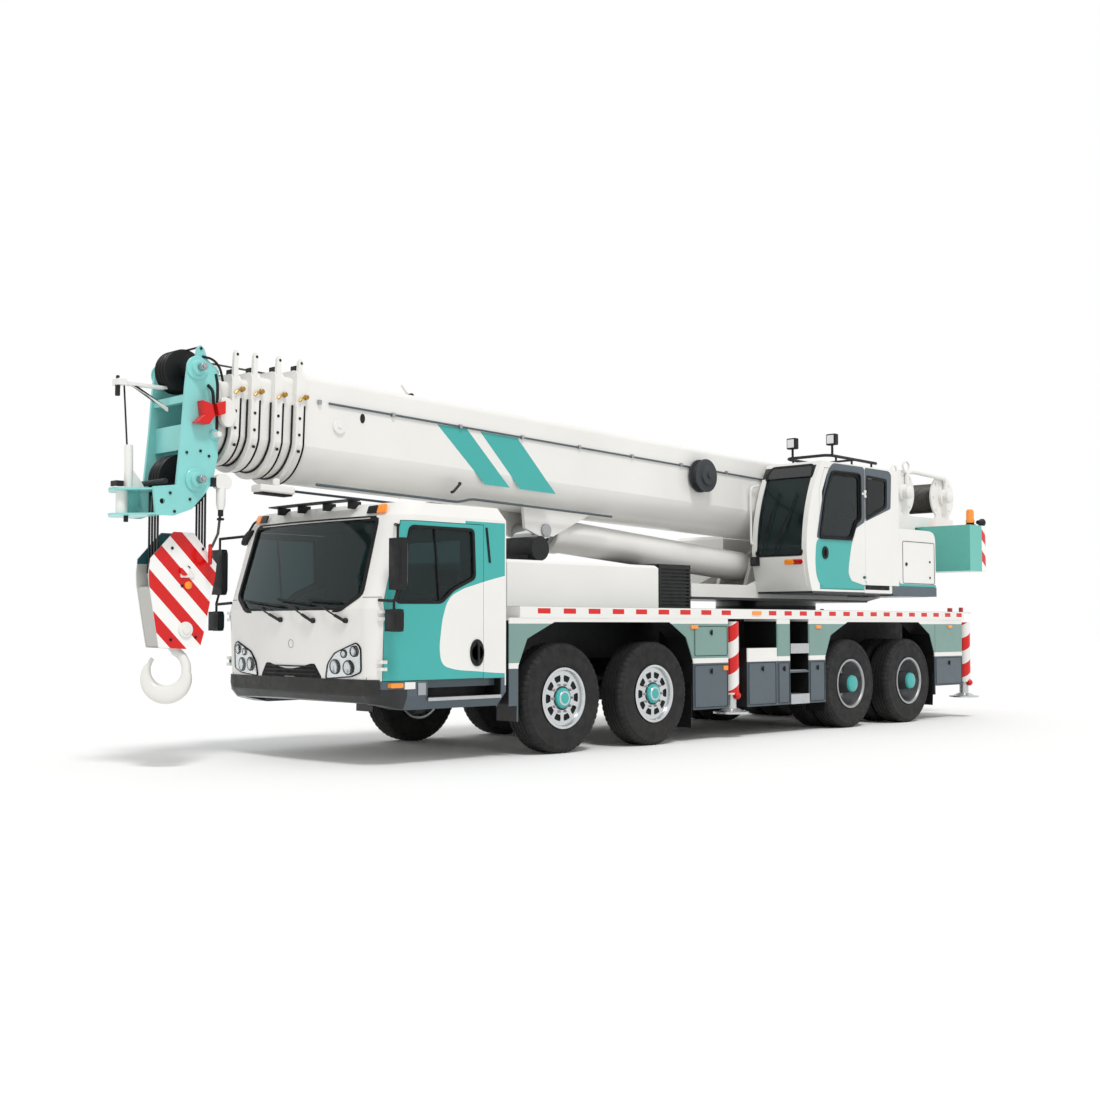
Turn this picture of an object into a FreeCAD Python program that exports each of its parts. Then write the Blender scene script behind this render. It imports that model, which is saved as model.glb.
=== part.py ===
"""Four-axle mobile crane: carrier, slewing superstructure and five-section telescopic boom.

Millimetres.  Every section works in vehicle coordinates: x is 0 at the first axle and
points forward, y points to the vehicle's left, z is 0 on the ground.  save() moves each
piece so that the middle of the whole length stands at the origin.
"""
import FreeCAD, Part
import math
import os

V = FreeCAD.Vector
os.makedirs("parts", exist_ok=True)

# Overall places
boom_head_front = 4170
winch_rear = -9130
middle_x = (boom_head_front + winch_rear) / 2
half_width = 1250
press_gap = 0.3
running_gap = 0.05
panel_gap = 6

# Carrier heights
deck_top = 1437
deck_plate = 20
deck_skirt = 111
deck_skirt_wall = 16
deck_front, deck_rear = 600, -8030
deck_under = deck_top - deck_plate
skirt_bottom = deck_top - deck_skirt

# Wheels and axles
wheel_radius = 540
wheel_z = wheel_radius
tyre_width = 300
bead_radius = 290
twin_spacing = 340
axle_x = (0, -1355, -5045, -6395)
steered_axles = (0, 1)
outer_tyre_y = half_width - tyre_width / 2
twin_tyre_y = outer_tyre_y - twin_spacing
kingpin_y = half_width - 210
kingpin_radius = 30
axle_eye_radius = 58
axle_eye_height = 110
spindle_radius = 40
drive_spindle_radius = 60
rail_inner, rail_outer = 340, 430
rail_bottom = wheel_z + 360

# Slewing ring and boom pivots
slew_x = -5000
slew_ring_radius = 640
slew_ring_top = 1500
boom_pivot_x, boom_pivot_z = -6900, 2720
boom_pivot_radius = 50
boom_slope = 1.8
lift_base_x, lift_base_z = -4500, 1990
lift_eye_x, lift_eye_z = -750, 2270
lift_pin_radius = 45
lift_barrel_radius = 185
lift_bore_radius = 140

# Boom sections: half width, floor and top below and above the pivot line, collar front, tail
boom_wall = 12
boom_step = 38
boom_half_width = 400
boom_floor, boom_top = -450, 520
boom_tail = -250
tail_chamfer = 80
section_count = 5
collar_front = (9520, 9725, 9945, 10120)
collar_length = 90
lug_tip = 640


def box(x0, x1, y0, y1, z0, z1):
    """A block between two corners given in any order."""
    low = V(min(x0, x1), min(y0, y1), min(z0, z1))
    return Part.makeBox(abs(x1 - x0), abs(y1 - y0), abs(z1 - z0), low)


def wire_of(points):
    return Part.makePolygon(list(points) + [points[0]])


def prism_xz(outline, y0, y1):
    """An outline of (x, z) pairs, drawn out along y."""
    face = Part.Face(wire_of([V(x, y0, z) for x, z in outline]))
    return face.extrude(V(0, y1 - y0, 0))


def prism_xy(outline, z0, z1):
    """An outline of (x, y) pairs, drawn out along z."""
    face = Part.Face(wire_of([V(x, y, z0) for x, y in outline]))
    return face.extrude(V(0, 0, z1 - z0))


def rod_along(direction, start, radius, length):
    return Part.makeCylinder(radius, length, V(*start), V(*direction))


def rod_y(x, z, radius, y0, y1):
    """A round bar across the vehicle."""
    return rod_along((0, 1, 0), (x, y0, z), radius, y1 - y0)


def rod_z(x, y, radius, z0, z1):
    """An upright round bar."""
    return rod_along((0, 0, 1), (x, y, z0), radius, z1 - z0)


def tube_y(x, z, outer, inner, y0, y1):
    return rod_y(x, z, outer, y0, y1).cut(rod_y(x, z, inner, y0 - 1, y1 + 1))


def revolve_y(outline, x, z):
    """An outline of (radius, y) pairs, turned about an axis along y."""
    face = Part.Face(wire_of([V(x, y, z + radius) for radius, y in outline]))
    return face.revolve(V(x, 0, z), V(0, 1, 0), 360)


def bar_between(start, end, radius):
    """A round bar from one point to another."""
    run = V(*end) - V(*start)
    return Part.makeCylinder(radius, run.Length, V(*start), run)


def mirrored(shape):
    """The same piece on the other side of the vehicle."""
    return shape.mirror(V(0, 0, 0), V(0, 1, 0))


def both_sides(shape):
    return [shape, mirrored(shape)]


def fused(pieces):
    whole = pieces[0].multiFuse(list(pieces[1:])) if len(pieces) > 1 else pieces[0]
    return whole.removeSplitter()


def save(name, *pieces):
    """Write one node with its solids, moved to the origin of the whole crane."""
    solids = [solid for piece in pieces for solid in piece.Solids]
    shape = Part.makeCompound(solids) if len(solids) > 1 else solids[0].copy()
    shape.translate(V(-middle_x, 0, 0))
    shape.exportStep("parts/" + name + ".step")


# Chassis

rail_height = deck_under - rail_bottom
cab_rail_bottom, cab_rail_top = 560, 690
cab_rail_front = 2150
neck_front, neck_width = 775, 125
# Columns: front x, rear x, bottom z, top z of each member between the rails
cross_members = (
    (2050, 1950, cab_rail_bottom, cab_rail_top),
    (250, 130, rail_bottom + 5, rail_bottom + 100),
    (-1080, -1200, rail_bottom + 5, rail_bottom + 100),
    (-2300, -2400, rail_bottom + 20, rail_bottom + 400),
    (-3600, -3700, rail_bottom + 20, rail_bottom + 400),
    (-7300, -7400, rail_bottom + 20, rail_bottom + 400),
)
# Columns: x of the middle of each outrigger housing
outrigger_x = {"front": -2785, "rear": -8000}
housing_half_length = 145
housing_half_width = half_width - 240
housing_bottom, housing_top = 640, 960
housing_wall = 14
beam_depth, beam_width = 210, 110
beam_offset = 66
beam_z = 780
beam_slack = press_gap
spring_y0, spring_y1 = 352, 422
spring_half_length = 600
spring_end_z = wheel_z + 260
spring_middle_z = wheel_z + 56
spring_thickness = 62
trunnion_x = (axle_x[2] + axle_x[3]) / 2
trunnion_spring_z = wheel_z + 150


def chassis_rail():
    outline = (
        (cab_rail_front, cab_rail_bottom), (cab_rail_front, cab_rail_top),
        (neck_front, cab_rail_top), (neck_front, deck_under - 420),
        (deck_front, deck_under - 40), (deck_front - 40, deck_under),
        (deck_rear + 30, deck_under), (deck_rear + 30, rail_bottom),
        (neck_front - neck_width, rail_bottom), (neck_front - neck_width, cab_rail_bottom + 80),
        (neck_front - neck_width + 70, cab_rail_bottom),
    )
    return prism_xz(outline, rail_inner, rail_outer)


def outrigger_housing(x):
    outer = box(x - housing_half_length, x + housing_half_length,
                -housing_half_width, housing_half_width, housing_bottom, housing_top)
    for side in (-1, 1):
        half = beam_width / 2 + beam_slack
        middle = x + side * beam_offset
        outer = outer.cut(box(middle - half, middle + half, -2 * half_width, 2 * half_width,
                              beam_z - beam_depth / 2 - beam_slack,
                              beam_z + beam_depth / 2 + beam_slack))
    return outer


def outrigger_hanger(x):
    """The box that joins an outrigger housing to the rails."""
    return box(x - housing_half_length, x + housing_half_length,
               -rail_outer, rail_outer, housing_top, deck_under - 60)


def spring_hangers():
    hangers = []
    for axle in steered_axles:
        for end in (-1, 1):
            x = axle_x[axle] + end * spring_half_length
            hangers.append(box(x - 40, x + 40, spring_y0, spring_y1,
                               spring_end_z + spring_thickness, rail_bottom))
    hangers.append(box(trunnion_x - 130, trunnion_x + 130, spring_y0, spring_y1,
                       trunnion_spring_z + spring_thickness, rail_bottom))
    return hangers


def slew_base():
    """The box under the slewing ring and the ring itself."""
    body = box(slew_x - 720, slew_x + 720, -560, 560, 1010, deck_under)
    ring = rod_z(slew_x, 0, slew_ring_radius, deck_under - 10, slew_ring_top)
    bore = rod_z(slew_x, 0, slew_ring_radius - 110, 900, slew_ring_top + 1)
    return body.fuse(ring).cut(bore)


def chassis_frame():
    pieces = both_sides(chassis_rail())
    for front, rear, bottom, top in cross_members:
        pieces.append(box(rear, front, -rail_inner, rail_inner, bottom, top))
    for x in outrigger_x.values():
        pieces += [outrigger_housing(x), outrigger_hanger(x)]
    for hanger in spring_hangers():
        pieces += both_sides(hanger)
    pieces.append(slew_base())
    pieces.append(box(-8350, -8140, -420, 420, 1080, 1320))
    return fused(pieces)


save("chassis_frame", chassis_frame())

# Axles and springs

beam_half = 55
diff_radius = 225
drive_tube_radius = 80
drive_tube_end = 560
drive_spindle_end = half_width - 100


def arc_strip(x0, x1, end_z, middle_z, thickness, y0, y1):
    """A curved leaf pack: two arcs through its ends and its middle."""
    middle = (x0 + x1) / 2
    lower = Part.Arc(V(x0, y0, end_z), V(middle, y0, middle_z), V(x1, y0, end_z)).toShape()
    upper = Part.Arc(V(x1, y0, end_z + thickness), V(middle, y0, middle_z + thickness),
                     V(x0, y0, end_z + thickness)).toShape()
    ends = [Part.makeLine(V(x1, y0, end_z), V(x1, y0, end_z + thickness)),
            Part.makeLine(V(x0, y0, end_z + thickness), V(x0, y0, end_z))]
    return Part.Face(Part.Wire([lower, ends[0], upper, ends[1]])).extrude(V(0, y1 - y0, 0))


def steered_axle(x):
    pieces = [box(x - beam_half, x + beam_half, -kingpin_y, kingpin_y,
                  wheel_z - beam_half, wheel_z + beam_half)]
    spring = arc_strip(x - spring_half_length, x + spring_half_length, spring_end_z,
                       spring_middle_z - 2, spring_thickness, spring_y0, spring_y1)
    pieces += both_sides(spring)
    eye = rod_z(x, kingpin_y, axle_eye_radius, wheel_z - axle_eye_height / 2,
                wheel_z + axle_eye_height / 2)
    pieces += both_sides(eye)
    axle = fused(pieces)
    bore = rod_z(x, kingpin_y, kingpin_radius + running_gap, wheel_z - 200, wheel_z + 200)
    shoulder = box(x - 80, x + 80, kingpin_y, kingpin_y + 90, wheel_z - 90, wheel_z + 90)
    shoulder = shoulder.cut(rod_z(x, kingpin_y, axle_eye_radius, wheel_z - 100, wheel_z + 100))
    for cutter in both_sides(bore) + both_sides(shoulder):
        axle = axle.cut(cutter)
    return axle


def drive_axle(x):
    housing = Part.makeSphere(diff_radius, V(x, 0, wheel_z))
    tube = rod_y(x, wheel_z, drive_tube_radius, -drive_tube_end, drive_tube_end)
    spindle = rod_y(x, wheel_z, drive_spindle_radius, -drive_spindle_end,
                     drive_spindle_end)
    pad = box(x - 70, x + 70, spring_y0, spring_y1, wheel_z + 50, trunnion_spring_z - 60)
    return [housing, tube, spindle] + both_sides(pad)


def rear_bogie():
    """Both drive axles and the inverted springs between them."""
    pieces = drive_axle(axle_x[2]) + drive_axle(axle_x[3])
    spring = arc_strip(axle_x[3], axle_x[2], trunnion_spring_z - 62, trunnion_spring_z,
                       spring_thickness, spring_y0, spring_y1)
    return fused(pieces + both_sides(spring))


save("axles", steered_axle(axle_x[0]), steered_axle(axle_x[1]), rear_bogie())

# Knuckles, rims and tyres

knuckle_plate_y0, knuckle_plate_y1 = kingpin_y + 64, kingpin_y + 96
spindle_end = kingpin_y + 168
yoke_height = 40
hub_gap = 2


def knuckle(x):
    """Left steering knuckle: yoke over the axle's eye, spindle and steering arm."""
    top = wheel_z + axle_eye_height / 2 + hub_gap
    bottom = wheel_z - axle_eye_height / 2 - hub_gap
    pieces = []
    for z0 in (top, bottom - yoke_height):
        pieces.append(rod_z(x, kingpin_y, 52, z0, z0 + yoke_height))
        pieces.append(box(x - 52, x + 52, kingpin_y, knuckle_plate_y1, z0, z0 + yoke_height))
    pieces.append(box(x - 52, x + 52, knuckle_plate_y0, knuckle_plate_y1,
                      bottom - yoke_height, top + yoke_height))
    pieces.append(rod_z(x, kingpin_y, kingpin_radius, bottom - yoke_height, top + yoke_height))
    pieces.append(rod_y(x, wheel_z, spindle_radius, knuckle_plate_y0, spindle_end))
    arm = prism_xy(((x - 20, kingpin_y - 30), (x - 20, kingpin_y + 30), (x - 190, kingpin_y - 80),
                    (x - 190, kingpin_y - 135)), bottom - yoke_height, bottom - yoke_height + 28)
    pieces.append(arm)
    return fused(pieces)


def front_rim(x):
    """Left steered rim: bead barrel, dished disc with hand holes, hub and cap."""
    y = outer_tyre_y
    bore = spindle_radius + running_gap
    barrel = ((bead_radius, y - 142), (bead_radius, y + 142), (bead_radius + 10, y + 142),
              (bead_radius + 10, y + 150), (bead_radius - 14, y + 150), (bead_radius - 22, y + 136),
              (bead_radius - 22, y + 70), (bead_radius - 22, y - 134), (bead_radius - 14, y - 150),
              (bead_radius + 10, y - 150), (bead_radius + 10, y - 142))
    disc = ((268, y + 66), (268, y + 82), (205, y + 106), (120, y + 106), (120, y + 50),
            (bore, y + 50), (bore, y + 38), (130, y + 38), (130, y + 90), (205, y + 90))
    hub = ((0, y + 109), (bore, y + 109), (bore, y + 38), (95, y + 38), (95, y + 130),
           (70, y + 162), (0, y + 162))
    rim = fused([revolve_y(barrel, x, wheel_z), revolve_y(disc, x, wheel_z),
                 revolve_y(hub, x, wheel_z)])
    for index in range(hand_hole_count):
        turn = math.radians(360 * index / hand_hole_count + 18)
        hole = rod_y(x + hand_hole_circle * math.cos(turn),
                     wheel_z + hand_hole_circle * math.sin(turn), hand_hole_radius, y + 60, y + 140)
        rim = rim.cut(hole)
    return rim


def twin_rims(x):
    """Left pair of driven rims, back to back on one hub."""
    middle = outer_tyre_y - twin_spacing / 2
    pieces = []
    for side in (-1, 1):
        near, far = middle + side * 14, middle + side * 326
        inner = middle + side * 20
        barrel = ((bead_radius, inner + side * 8), (bead_radius, far - side * 14),
                  (bead_radius + 10, far - side * 14), (bead_radius + 10, far - side * 6),
                  (bead_radius - 14, far - side * 6), (bead_radius - 22, far - side * 20),
                  (bead_radius - 22, near + side * 30), (200, near), (100, near),
                  (100, near - side * 14), (206, near - side * 14),
                  (bead_radius - 10, inner), (bead_radius + 10, inner),
                  (bead_radius + 10, inner + side * 8))
        pieces.append(revolve_y(barrel, x, wheel_z))
    bore = drive_spindle_radius + running_gap
    y = half_width
    hub = ((bore, y - 550), (bore, y - 98), (0, y - 98), (0, y + 42), (70, y + 42),
           (96, y + 12), (110, y - 130), (130, y - 250), (130, y - 390), (110, y - 470),
           (110, y - 550))
    pieces.append(revolve_y(hub, x, wheel_z))
    return fused(pieces)


def tyre(x, y):
    """One tyre on its rim, with a flat tread and rounded shoulders."""
    half = tyre_width / 2
    inner = bead_radius + press_gap
    outline = ((inner, y - half + 22), (inner + 50, y - half + 6), (410, y - half),
               (480, y - half + 8), (wheel_radius - 12, y - half + 26), (wheel_radius, y - half + 60),
               (wheel_radius, y + half - 60), (wheel_radius - 12, y + half - 26),
               (480, y + half - 8), (410, y + half), (inner + 50, y + half - 6),
               (inner, y + half - 22))
    return revolve_y(outline, x, wheel_z)


hand_hole_count = 10
hand_hole_circle = 196
hand_hole_radius = 33

for axle, x in enumerate(axle_x):
    steered = axle in steered_axles
    for side_name in ("left", "right"):
        tag = "_" + str(axle + 1) + "_" + side_name
        pieces = {"rim": [front_rim(x)] if steered else [twin_rims(x)],
                  "tyre": [tyre(x, outer_tyre_y)] if steered
                  else [tyre(x, outer_tyre_y), tyre(x, twin_tyre_y)]}
        if steered:
            pieces["knuckle"] = [knuckle(x)]
        for kind, shapes in pieces.items():
            if side_name == "right":
                shapes = [mirrored(shape) for shape in shapes]
            save(kind + tag, *shapes)

# Outriggers

beam_inner_end, beam_outer_end = 10 - housing_half_width, housing_half_width + 52
jack_y = beam_outer_end + 84
jack_tube_radius = 92
jack_leg_radius = 62
jack_bottom, jack_top = 480, 1296
pad_radius = 200
pad_z = 268
pad_thickness = 22
pad_cone = 34


def outrigger_beam(x, side):
    """A beam that slides out to one side, with the upright jack tube on its end."""
    middle = x + side * beam_offset
    beam = box(middle - beam_width / 2, middle + beam_width / 2, side * beam_inner_end,
               side * beam_outer_end, beam_z - beam_depth / 2, beam_z + beam_depth / 2)
    plate = box(x - 120, x + 120, side * beam_outer_end, side * (beam_outer_end + 20),
                beam_z - beam_depth / 2 - 20, beam_z + beam_depth / 2 + 20)
    tube = rod_z(x, side * jack_y, jack_tube_radius, jack_bottom, jack_top)
    bore = rod_z(x, side * jack_y, jack_leg_radius + running_gap, jack_bottom - 1, jack_top - 14)
    neck = box(x - 60, x + 60, side * (beam_outer_end + 10), side * jack_y,
               beam_z - 110, beam_z + 110)
    return fused([beam, plate, neck, tube]).cut(bore)


def outrigger_jack(x, side):
    """The jack's leg with its ball and its foot pad."""
    y = side * jack_y
    leg = rod_z(x, y, jack_leg_radius, pad_z + pad_thickness, jack_top - 30)
    foot = Part.makeCone(pad_radius - 50, 90, pad_cone, V(x, y, pad_z + pad_thickness))
    disc = rod_z(x, y, pad_radius, pad_z, pad_z + pad_thickness)
    return fused([leg, foot, disc])


for place, x in outrigger_x.items():
    for side_name, side in (("left", 1), ("right", -1)):
        save("outrigger_beam_" + place + "_" + side_name, outrigger_beam(x, side))
        save("outrigger_jack_" + place + "_" + side_name, outrigger_jack(x, side))

# Deck

engine_hole = (-1700, 300, 330)
slew_hole_radius = slew_ring_radius + 70


def deck():
    slab = box(deck_rear, deck_front, -half_width, half_width, skirt_bottom, deck_top)
    pocket = box(deck_rear + deck_skirt_wall, deck_front - deck_skirt_wall,
                 -half_width + deck_skirt_wall, half_width - deck_skirt_wall,
                 skirt_bottom - 1, deck_under)
    slab = slab.cut(pocket)
    slab = slab.cut(rod_z(slew_x, 0, slew_hole_radius, skirt_bottom, deck_top + 1))
    rear, front, half = engine_hole
    slab = slab.cut(box(rear, front, -half, half, skirt_bottom - 1, deck_top + 1))
    for x in (deck_rear, deck_front):
        slab = slab.cut(box(x - 30, x + 30, -rail_outer - 5, rail_outer + 5,
                            skirt_bottom - 1, deck_under))
    for x in outrigger_x.values():
        if x < -7000:
            slab = slab.cut(box(x - 160, x + 160, -half_width, half_width,
                                skirt_bottom - 1, deck_under))
    return slab


save("deck", deck())

# Side bodywork: lockers between the wheels and the arches over them

locker_inner = half_width - 490
# Columns: front x, rear x, bottom z, top z of each locker on one side
lockers = (
    (-2000, -2610, 340, skirt_bottom),
    (-2960, -3525, 335, 995),
    (-3525, -3780, 335, skirt_bottom),
    (-4160, -4500, 335, skirt_bottom),
    (-7055, -7780, 450, skirt_bottom),
)
ladder_front, ladder_rear = -3780, -4160
ladder_steps = (420, 700, 980)
# Columns: foot front x, foot rear x, top front x, top rear x, front foot z, rear foot z, top z
arches = (
    (620, -2000, 130, -1610, 490, 340, 1286),
    (-4500, -7055, -4990, -6660, 335, 450, 1295),
)
arch_inner = half_width - 290
arch_wall = 14
fender_front = 740


def locker(front, rear, bottom, top):
    """A locker; above one that stops short of the deck, its back wall goes on up."""
    body = box(rear, front, locker_inner, half_width - 4, bottom, top)
    lip = box(rear + 12, front - 12, half_width - 5, half_width, bottom + 12,
              min(top, skirt_bottom - 60))
    back = box(rear, front, locker_inner, locker_inner + 20, bottom, skirt_bottom)
    return fused([body, lip, back])


def arch_outline(foot_front, foot_rear, top_front, top_rear, top, grow):
    """The wheel opening seen from the side, grown outwards by grow."""
    low = 100
    return ((foot_rear - grow, low), (foot_rear - grow, top - 420),
            (foot_rear + 120 - grow, top - 160), (top_rear, top + grow), (top_front, top + grow),
            (foot_front - 120 + grow, top - 160), (foot_front + grow, top - 420),
            (foot_front + grow, low))


def arch(foot_front, foot_rear, top_front, top_rear, front_z, rear_z, top):
    """Outer panel and inner mudguard of one pair of wheels."""
    hole = prism_xz(arch_outline(foot_front, foot_rear, top_front, top_rear, top, 0), 0, 2000)
    guard = prism_xz(arch_outline(foot_front, foot_rear, top_front, top_rear, top, arch_wall),
                     arch_inner, half_width - 4)
    panel = box(foot_rear - arch_wall, foot_front + arch_wall, half_width - arch_wall - 4,
                half_width - 4, rear_z, skirt_bottom)
    whole = guard.fuse(panel).cut(hole)
    low = min(front_z, rear_z)
    whole = whole.cut(box(foot_rear - 50, foot_front + 200, 0, 2000, -10, low))
    return whole.cut(box(foot_rear - 50, foot_front + 200, 0, 2000, skirt_bottom, 2000))


def ladder():
    """Open step well between two lockers."""
    pieces = [box(ladder_rear, ladder_front, locker_inner, locker_inner + 20,
                  lockers[2][2], skirt_bottom)]
    for z in ladder_steps:
        pieces.append(box(ladder_rear, ladder_front, locker_inner, half_width - 8, z, z + 24))
    return fused(pieces)


def side_bodywork():
    pieces = [locker(*row) for row in lockers]
    run = fused([pieces[1], pieces[2], ladder(), pieces[3]])
    front_fender = box(620 + arch_wall, fender_front, arch_inner, half_width - 4, 490,
                       skirt_bottom)
    arch_front = fused([arch(*arches[0]), front_fender])
    return [fused([arch_front, pieces[0]]), fused([run, arch(*arches[1]), pieces[4]])]


left_bodywork = side_bodywork()
save("side_bodywork", *left_bodywork, *[mirrored(piece) for piece in left_bodywork])

# Engine, its cover, cooler and air cleaner

cover_front, cover_rear = 440, -1830
cover_half_width = 900
cover_top = 1905
cover_wall = 14
engine_rear, engine_front = -1200, 250
engine_half_width = 300
cooler_front, cooler_rear = -1940, -2480
cooler_half_width = 820
cooler_top = 1930
louvre_count = 11
cleaner_x, cleaner_z, cleaner_radius = -415, 2055, 128


def engine_cover():
    outer = box(cover_rear, cover_front, -cover_half_width, cover_half_width, deck_top, cover_top)
    edges = [edge for edge in outer.Edges if edge.BoundBox.ZMin > deck_top + 1]
    outer = outer.makeChamfer(30, edges)
    inner = box(cover_rear + cover_wall, cover_front - cover_wall, -cover_half_width + cover_wall,
                cover_half_width - cover_wall, deck_top - 1, cover_top - 30 - cover_wall)
    return outer.cut(inner)


def cooler():
    """Radiator pack with a louvred face on each side."""
    body = box(cooler_rear, cooler_front, -cooler_half_width, cooler_half_width,
               deck_top, cooler_top)
    pitch = (cooler_top - deck_top - 60) / louvre_count
    for index in range(louvre_count):
        z = deck_top + 30 + index * pitch
        for side in (-1, 1):
            body = body.cut(box(cooler_rear + 30, cooler_front - 30,
                                side * cooler_half_width, side * (cooler_half_width - 18),
                                z, z + pitch * 0.5))
    return body


def air_cleaner():
    """Round canister on two straps above the engine cover."""
    drum = rod_y(cleaner_x, cleaner_z, cleaner_radius, -60, 500)
    foot = box(cleaner_x - 110, cleaner_x + 110, 60, 420, cover_top, cleaner_z - 40)
    tray = box(-1690, -180, 180, 420, cover_top, cover_top + 24)
    return fused([drum, foot, tray])


save("engine_cover", engine_cover())
save("engine_and_cooler",
     box(engine_rear, engine_front, -engine_half_width, engine_half_width, 1000, 1780),
     cooler(), air_cleaner())

# Driver's cab

cab_rear = 785
cab_side_front = 2080
cab_bottom, cab_belt, cab_eaves, cab_roof = 690, 1400, 2240, 2360
cab_wall = 55
cab_nose, cab_corner_x, corner_size = 2385, 2315, 250
windscreen_rake = 245
door_rear, door_front = 1070, 2212
door_top_front = 2014
door_bottom, door_top = 760, 2190
glass_thickness = 8


def cab_plan(z, inset, back):
    """Plan of the cab at one height: flat sides, round corners and a bowed front."""
    side = half_width - inset
    rear = cab_rear + inset
    straight = cab_side_front - back
    corner = V(cab_corner_x - back - inset, half_width - corner_size, z)
    nose = V(cab_nose - back - inset, 0, z)
    middle = V(cab_side_front + 166 - back - inset * 0.8, half_width - 73 - inset * 0.8, z)
    points = {"rear_left": V(rear, side, z), "side_left": V(straight, side, z),
              "side_right": V(straight, -side, z), "rear_right": V(rear, -side, z)}

    def flip(point):
        return V(point.x, -point.y, point.z)

    return Part.Wire([
        Part.makeLine(points["rear_right"], points["rear_left"]),
        Part.makeLine(points["rear_left"], points["side_left"]),
        Part.Arc(points["side_left"], middle, corner).toShape(),
        Part.Arc(corner, nose, flip(corner)).toShape(),
        Part.Arc(flip(corner), flip(middle), points["side_right"]).toShape(),
        Part.makeLine(points["side_right"], points["rear_right"]),
    ])


def flat_faces(body):
    """The same solid with its flat spline faces turned into true planes."""
    faces = []
    for face in body.Faces:
        if face.findPlane() is None:
            faces.append(face)
        else:
            faces.append(Part.Face(Part.Wire(Part.__sortEdges__(face.OuterWire.Edges))))
    shell = Part.Shell(faces)
    shell.sewShape()
    return Part.Solid(shell)


def ruled_body(sections):
    """Straight-sided body through a few plans, one above the other."""
    steps = [Part.makeLoft([low, high], True, True) for low, high in zip(sections, sections[1:])]
    return flat_faces(fused(steps))


def cab_volume(inset):
    """The cab's outer form, or the same form shrunk by a wall."""
    eaves = cab_eaves - inset * 0.4
    return ruled_body([
        cab_plan(cab_bottom + inset, inset, 30),
        cab_plan(cab_belt, inset, 0),
        cab_plan(eaves, inset, windscreen_rake),
        cab_plan(cab_roof - inset, inset + 60, windscreen_rake + 50),
    ])


def door_outline(inset):
    return ((door_rear + inset, door_bottom + inset), (door_front - inset, door_bottom + inset),
            (door_front - inset, 1450), (door_top_front - inset, door_top - inset),
            (door_rear + inset, door_top - inset))


side_window = ((1940, 2135), (2105, 1455), (1585, 1460), (1440, 1580), (1180, 1690), (1200, 2135))
screen_side, screen_foot, screen_head = half_width - 255, half_width - 500, half_width - 285
windscreen = ((-screen_side, 1528), (-screen_foot, 1388), (screen_foot, 1388),
              (screen_side, 1528), (screen_head, 2215), (-screen_head, 2215))


def prism_yz(outline, x0, x1):
    face = Part.Face(wire_of([V(x0, y, z) for y, z in outline]))
    return face.extrude(V(x1 - x0, 0, 0))


hinge_pin_radius = 8
hinge_barrel_radius = 15
hinge_leaf = 10
hinge_leaf_length = 48
hinge_height = 30
hinge_stand = hinge_barrel_radius + 2 * press_gap
hinge_root = 25


def hinge(x, z, side_x, surface_y, root=hinge_root):
    """A pin hinge on the left side: the fixed half with its pin, and the moving half.

    side_x says on which side of the pin the fixed leaf lies, and surface_y is where the
    panel's surface lies at the pin. root is how deep the leaves go into their panels.
    """
    low, high = z - hinge_height / 2, z + hinge_height / 2
    hinge_y = surface_y + hinge_stand
    leaf_inner, leaf_outer = surface_y - root, surface_y + hinge_leaf
    fixed = [rod_z(x, hinge_y, hinge_pin_radius, low - hinge_height, high + hinge_height)]
    for z0 in (low - hinge_height - 1, high + 1):
        fixed.append(rod_z(x, hinge_y, hinge_barrel_radius, z0, z0 + hinge_height))
        fixed.append(box(x, x + side_x * hinge_leaf_length, leaf_inner, leaf_outer,
                         z0, z0 + hinge_height))
    moving = rod_z(x, hinge_y, hinge_barrel_radius, low, high)
    moving = moving.fuse(box(x, x - side_x * hinge_leaf_length, leaf_inner, leaf_outer,
                             low, high))
    bore = rod_z(x, hinge_y, hinge_pin_radius + running_gap, low - 1, high + 1)
    return fixed, moving.cut(bore)


cab_hinge_x = door_front - panel_gap / 2
cab_hinge_root = 42
step_front, step_rear, step_tread = 1746, 845, 585
cab_hinge_z = (900, 1340)
cab_outer = cab_volume(0)
cab_walls = cab_outer.cut(cab_volume(cab_wall))


def side_surface(body, x, z):
    """Where a line across the vehicle comes out of a body's left side."""
    line = Part.makeLine(V(x, 0, z), V(x, 2 * half_width, z))
    return body.common(line).BoundBox.YMax


cab_hinge_surface = max(side_surface(cab_outer, cab_hinge_x - hinge_barrel_radius, z)
                        for z in cab_hinge_z)
print("cab hinge axis y", cab_hinge_surface + hinge_stand)


rear_window_half = half_width - 600
seat_y = half_width - 630


def cab_shell():
    shell = cab_walls
    for side in (-1, 1):
        shell = shell.cut(prism_xz(door_outline(0), side * (half_width - 150), side * (half_width + 150)))
        shell = shell.cut(box(step_rear, step_front, side * (half_width - 88),
                              side * (half_width + 10), cab_bottom - 10, door_bottom))
    shell = shell.cut(prism_yz(windscreen, 1900, 2700))
    rear_window = box(cab_rear - 10, cab_rear + cab_wall + 10, -rear_window_half, rear_window_half,
                      1560, 2080)
    shell = shell.cut(rear_window)
    floor = box(cab_rear + 20, 2240, -half_width + 90, half_width - 90, cab_bottom, 760)
    floor = floor.common(cab_outer)
    pedestals = [box(1120, 1480, side * seat_y - 200, side * seat_y + 200, 750, 1010)
                 for side in (-1, 1)]
    for z in cab_hinge_z:
        for piece in hinge(cab_hinge_x, z, 1, cab_hinge_surface, cab_hinge_root)[0]:
            pedestals += both_sides(piece)
    return fused([shell, floor] + pedestals)


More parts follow.
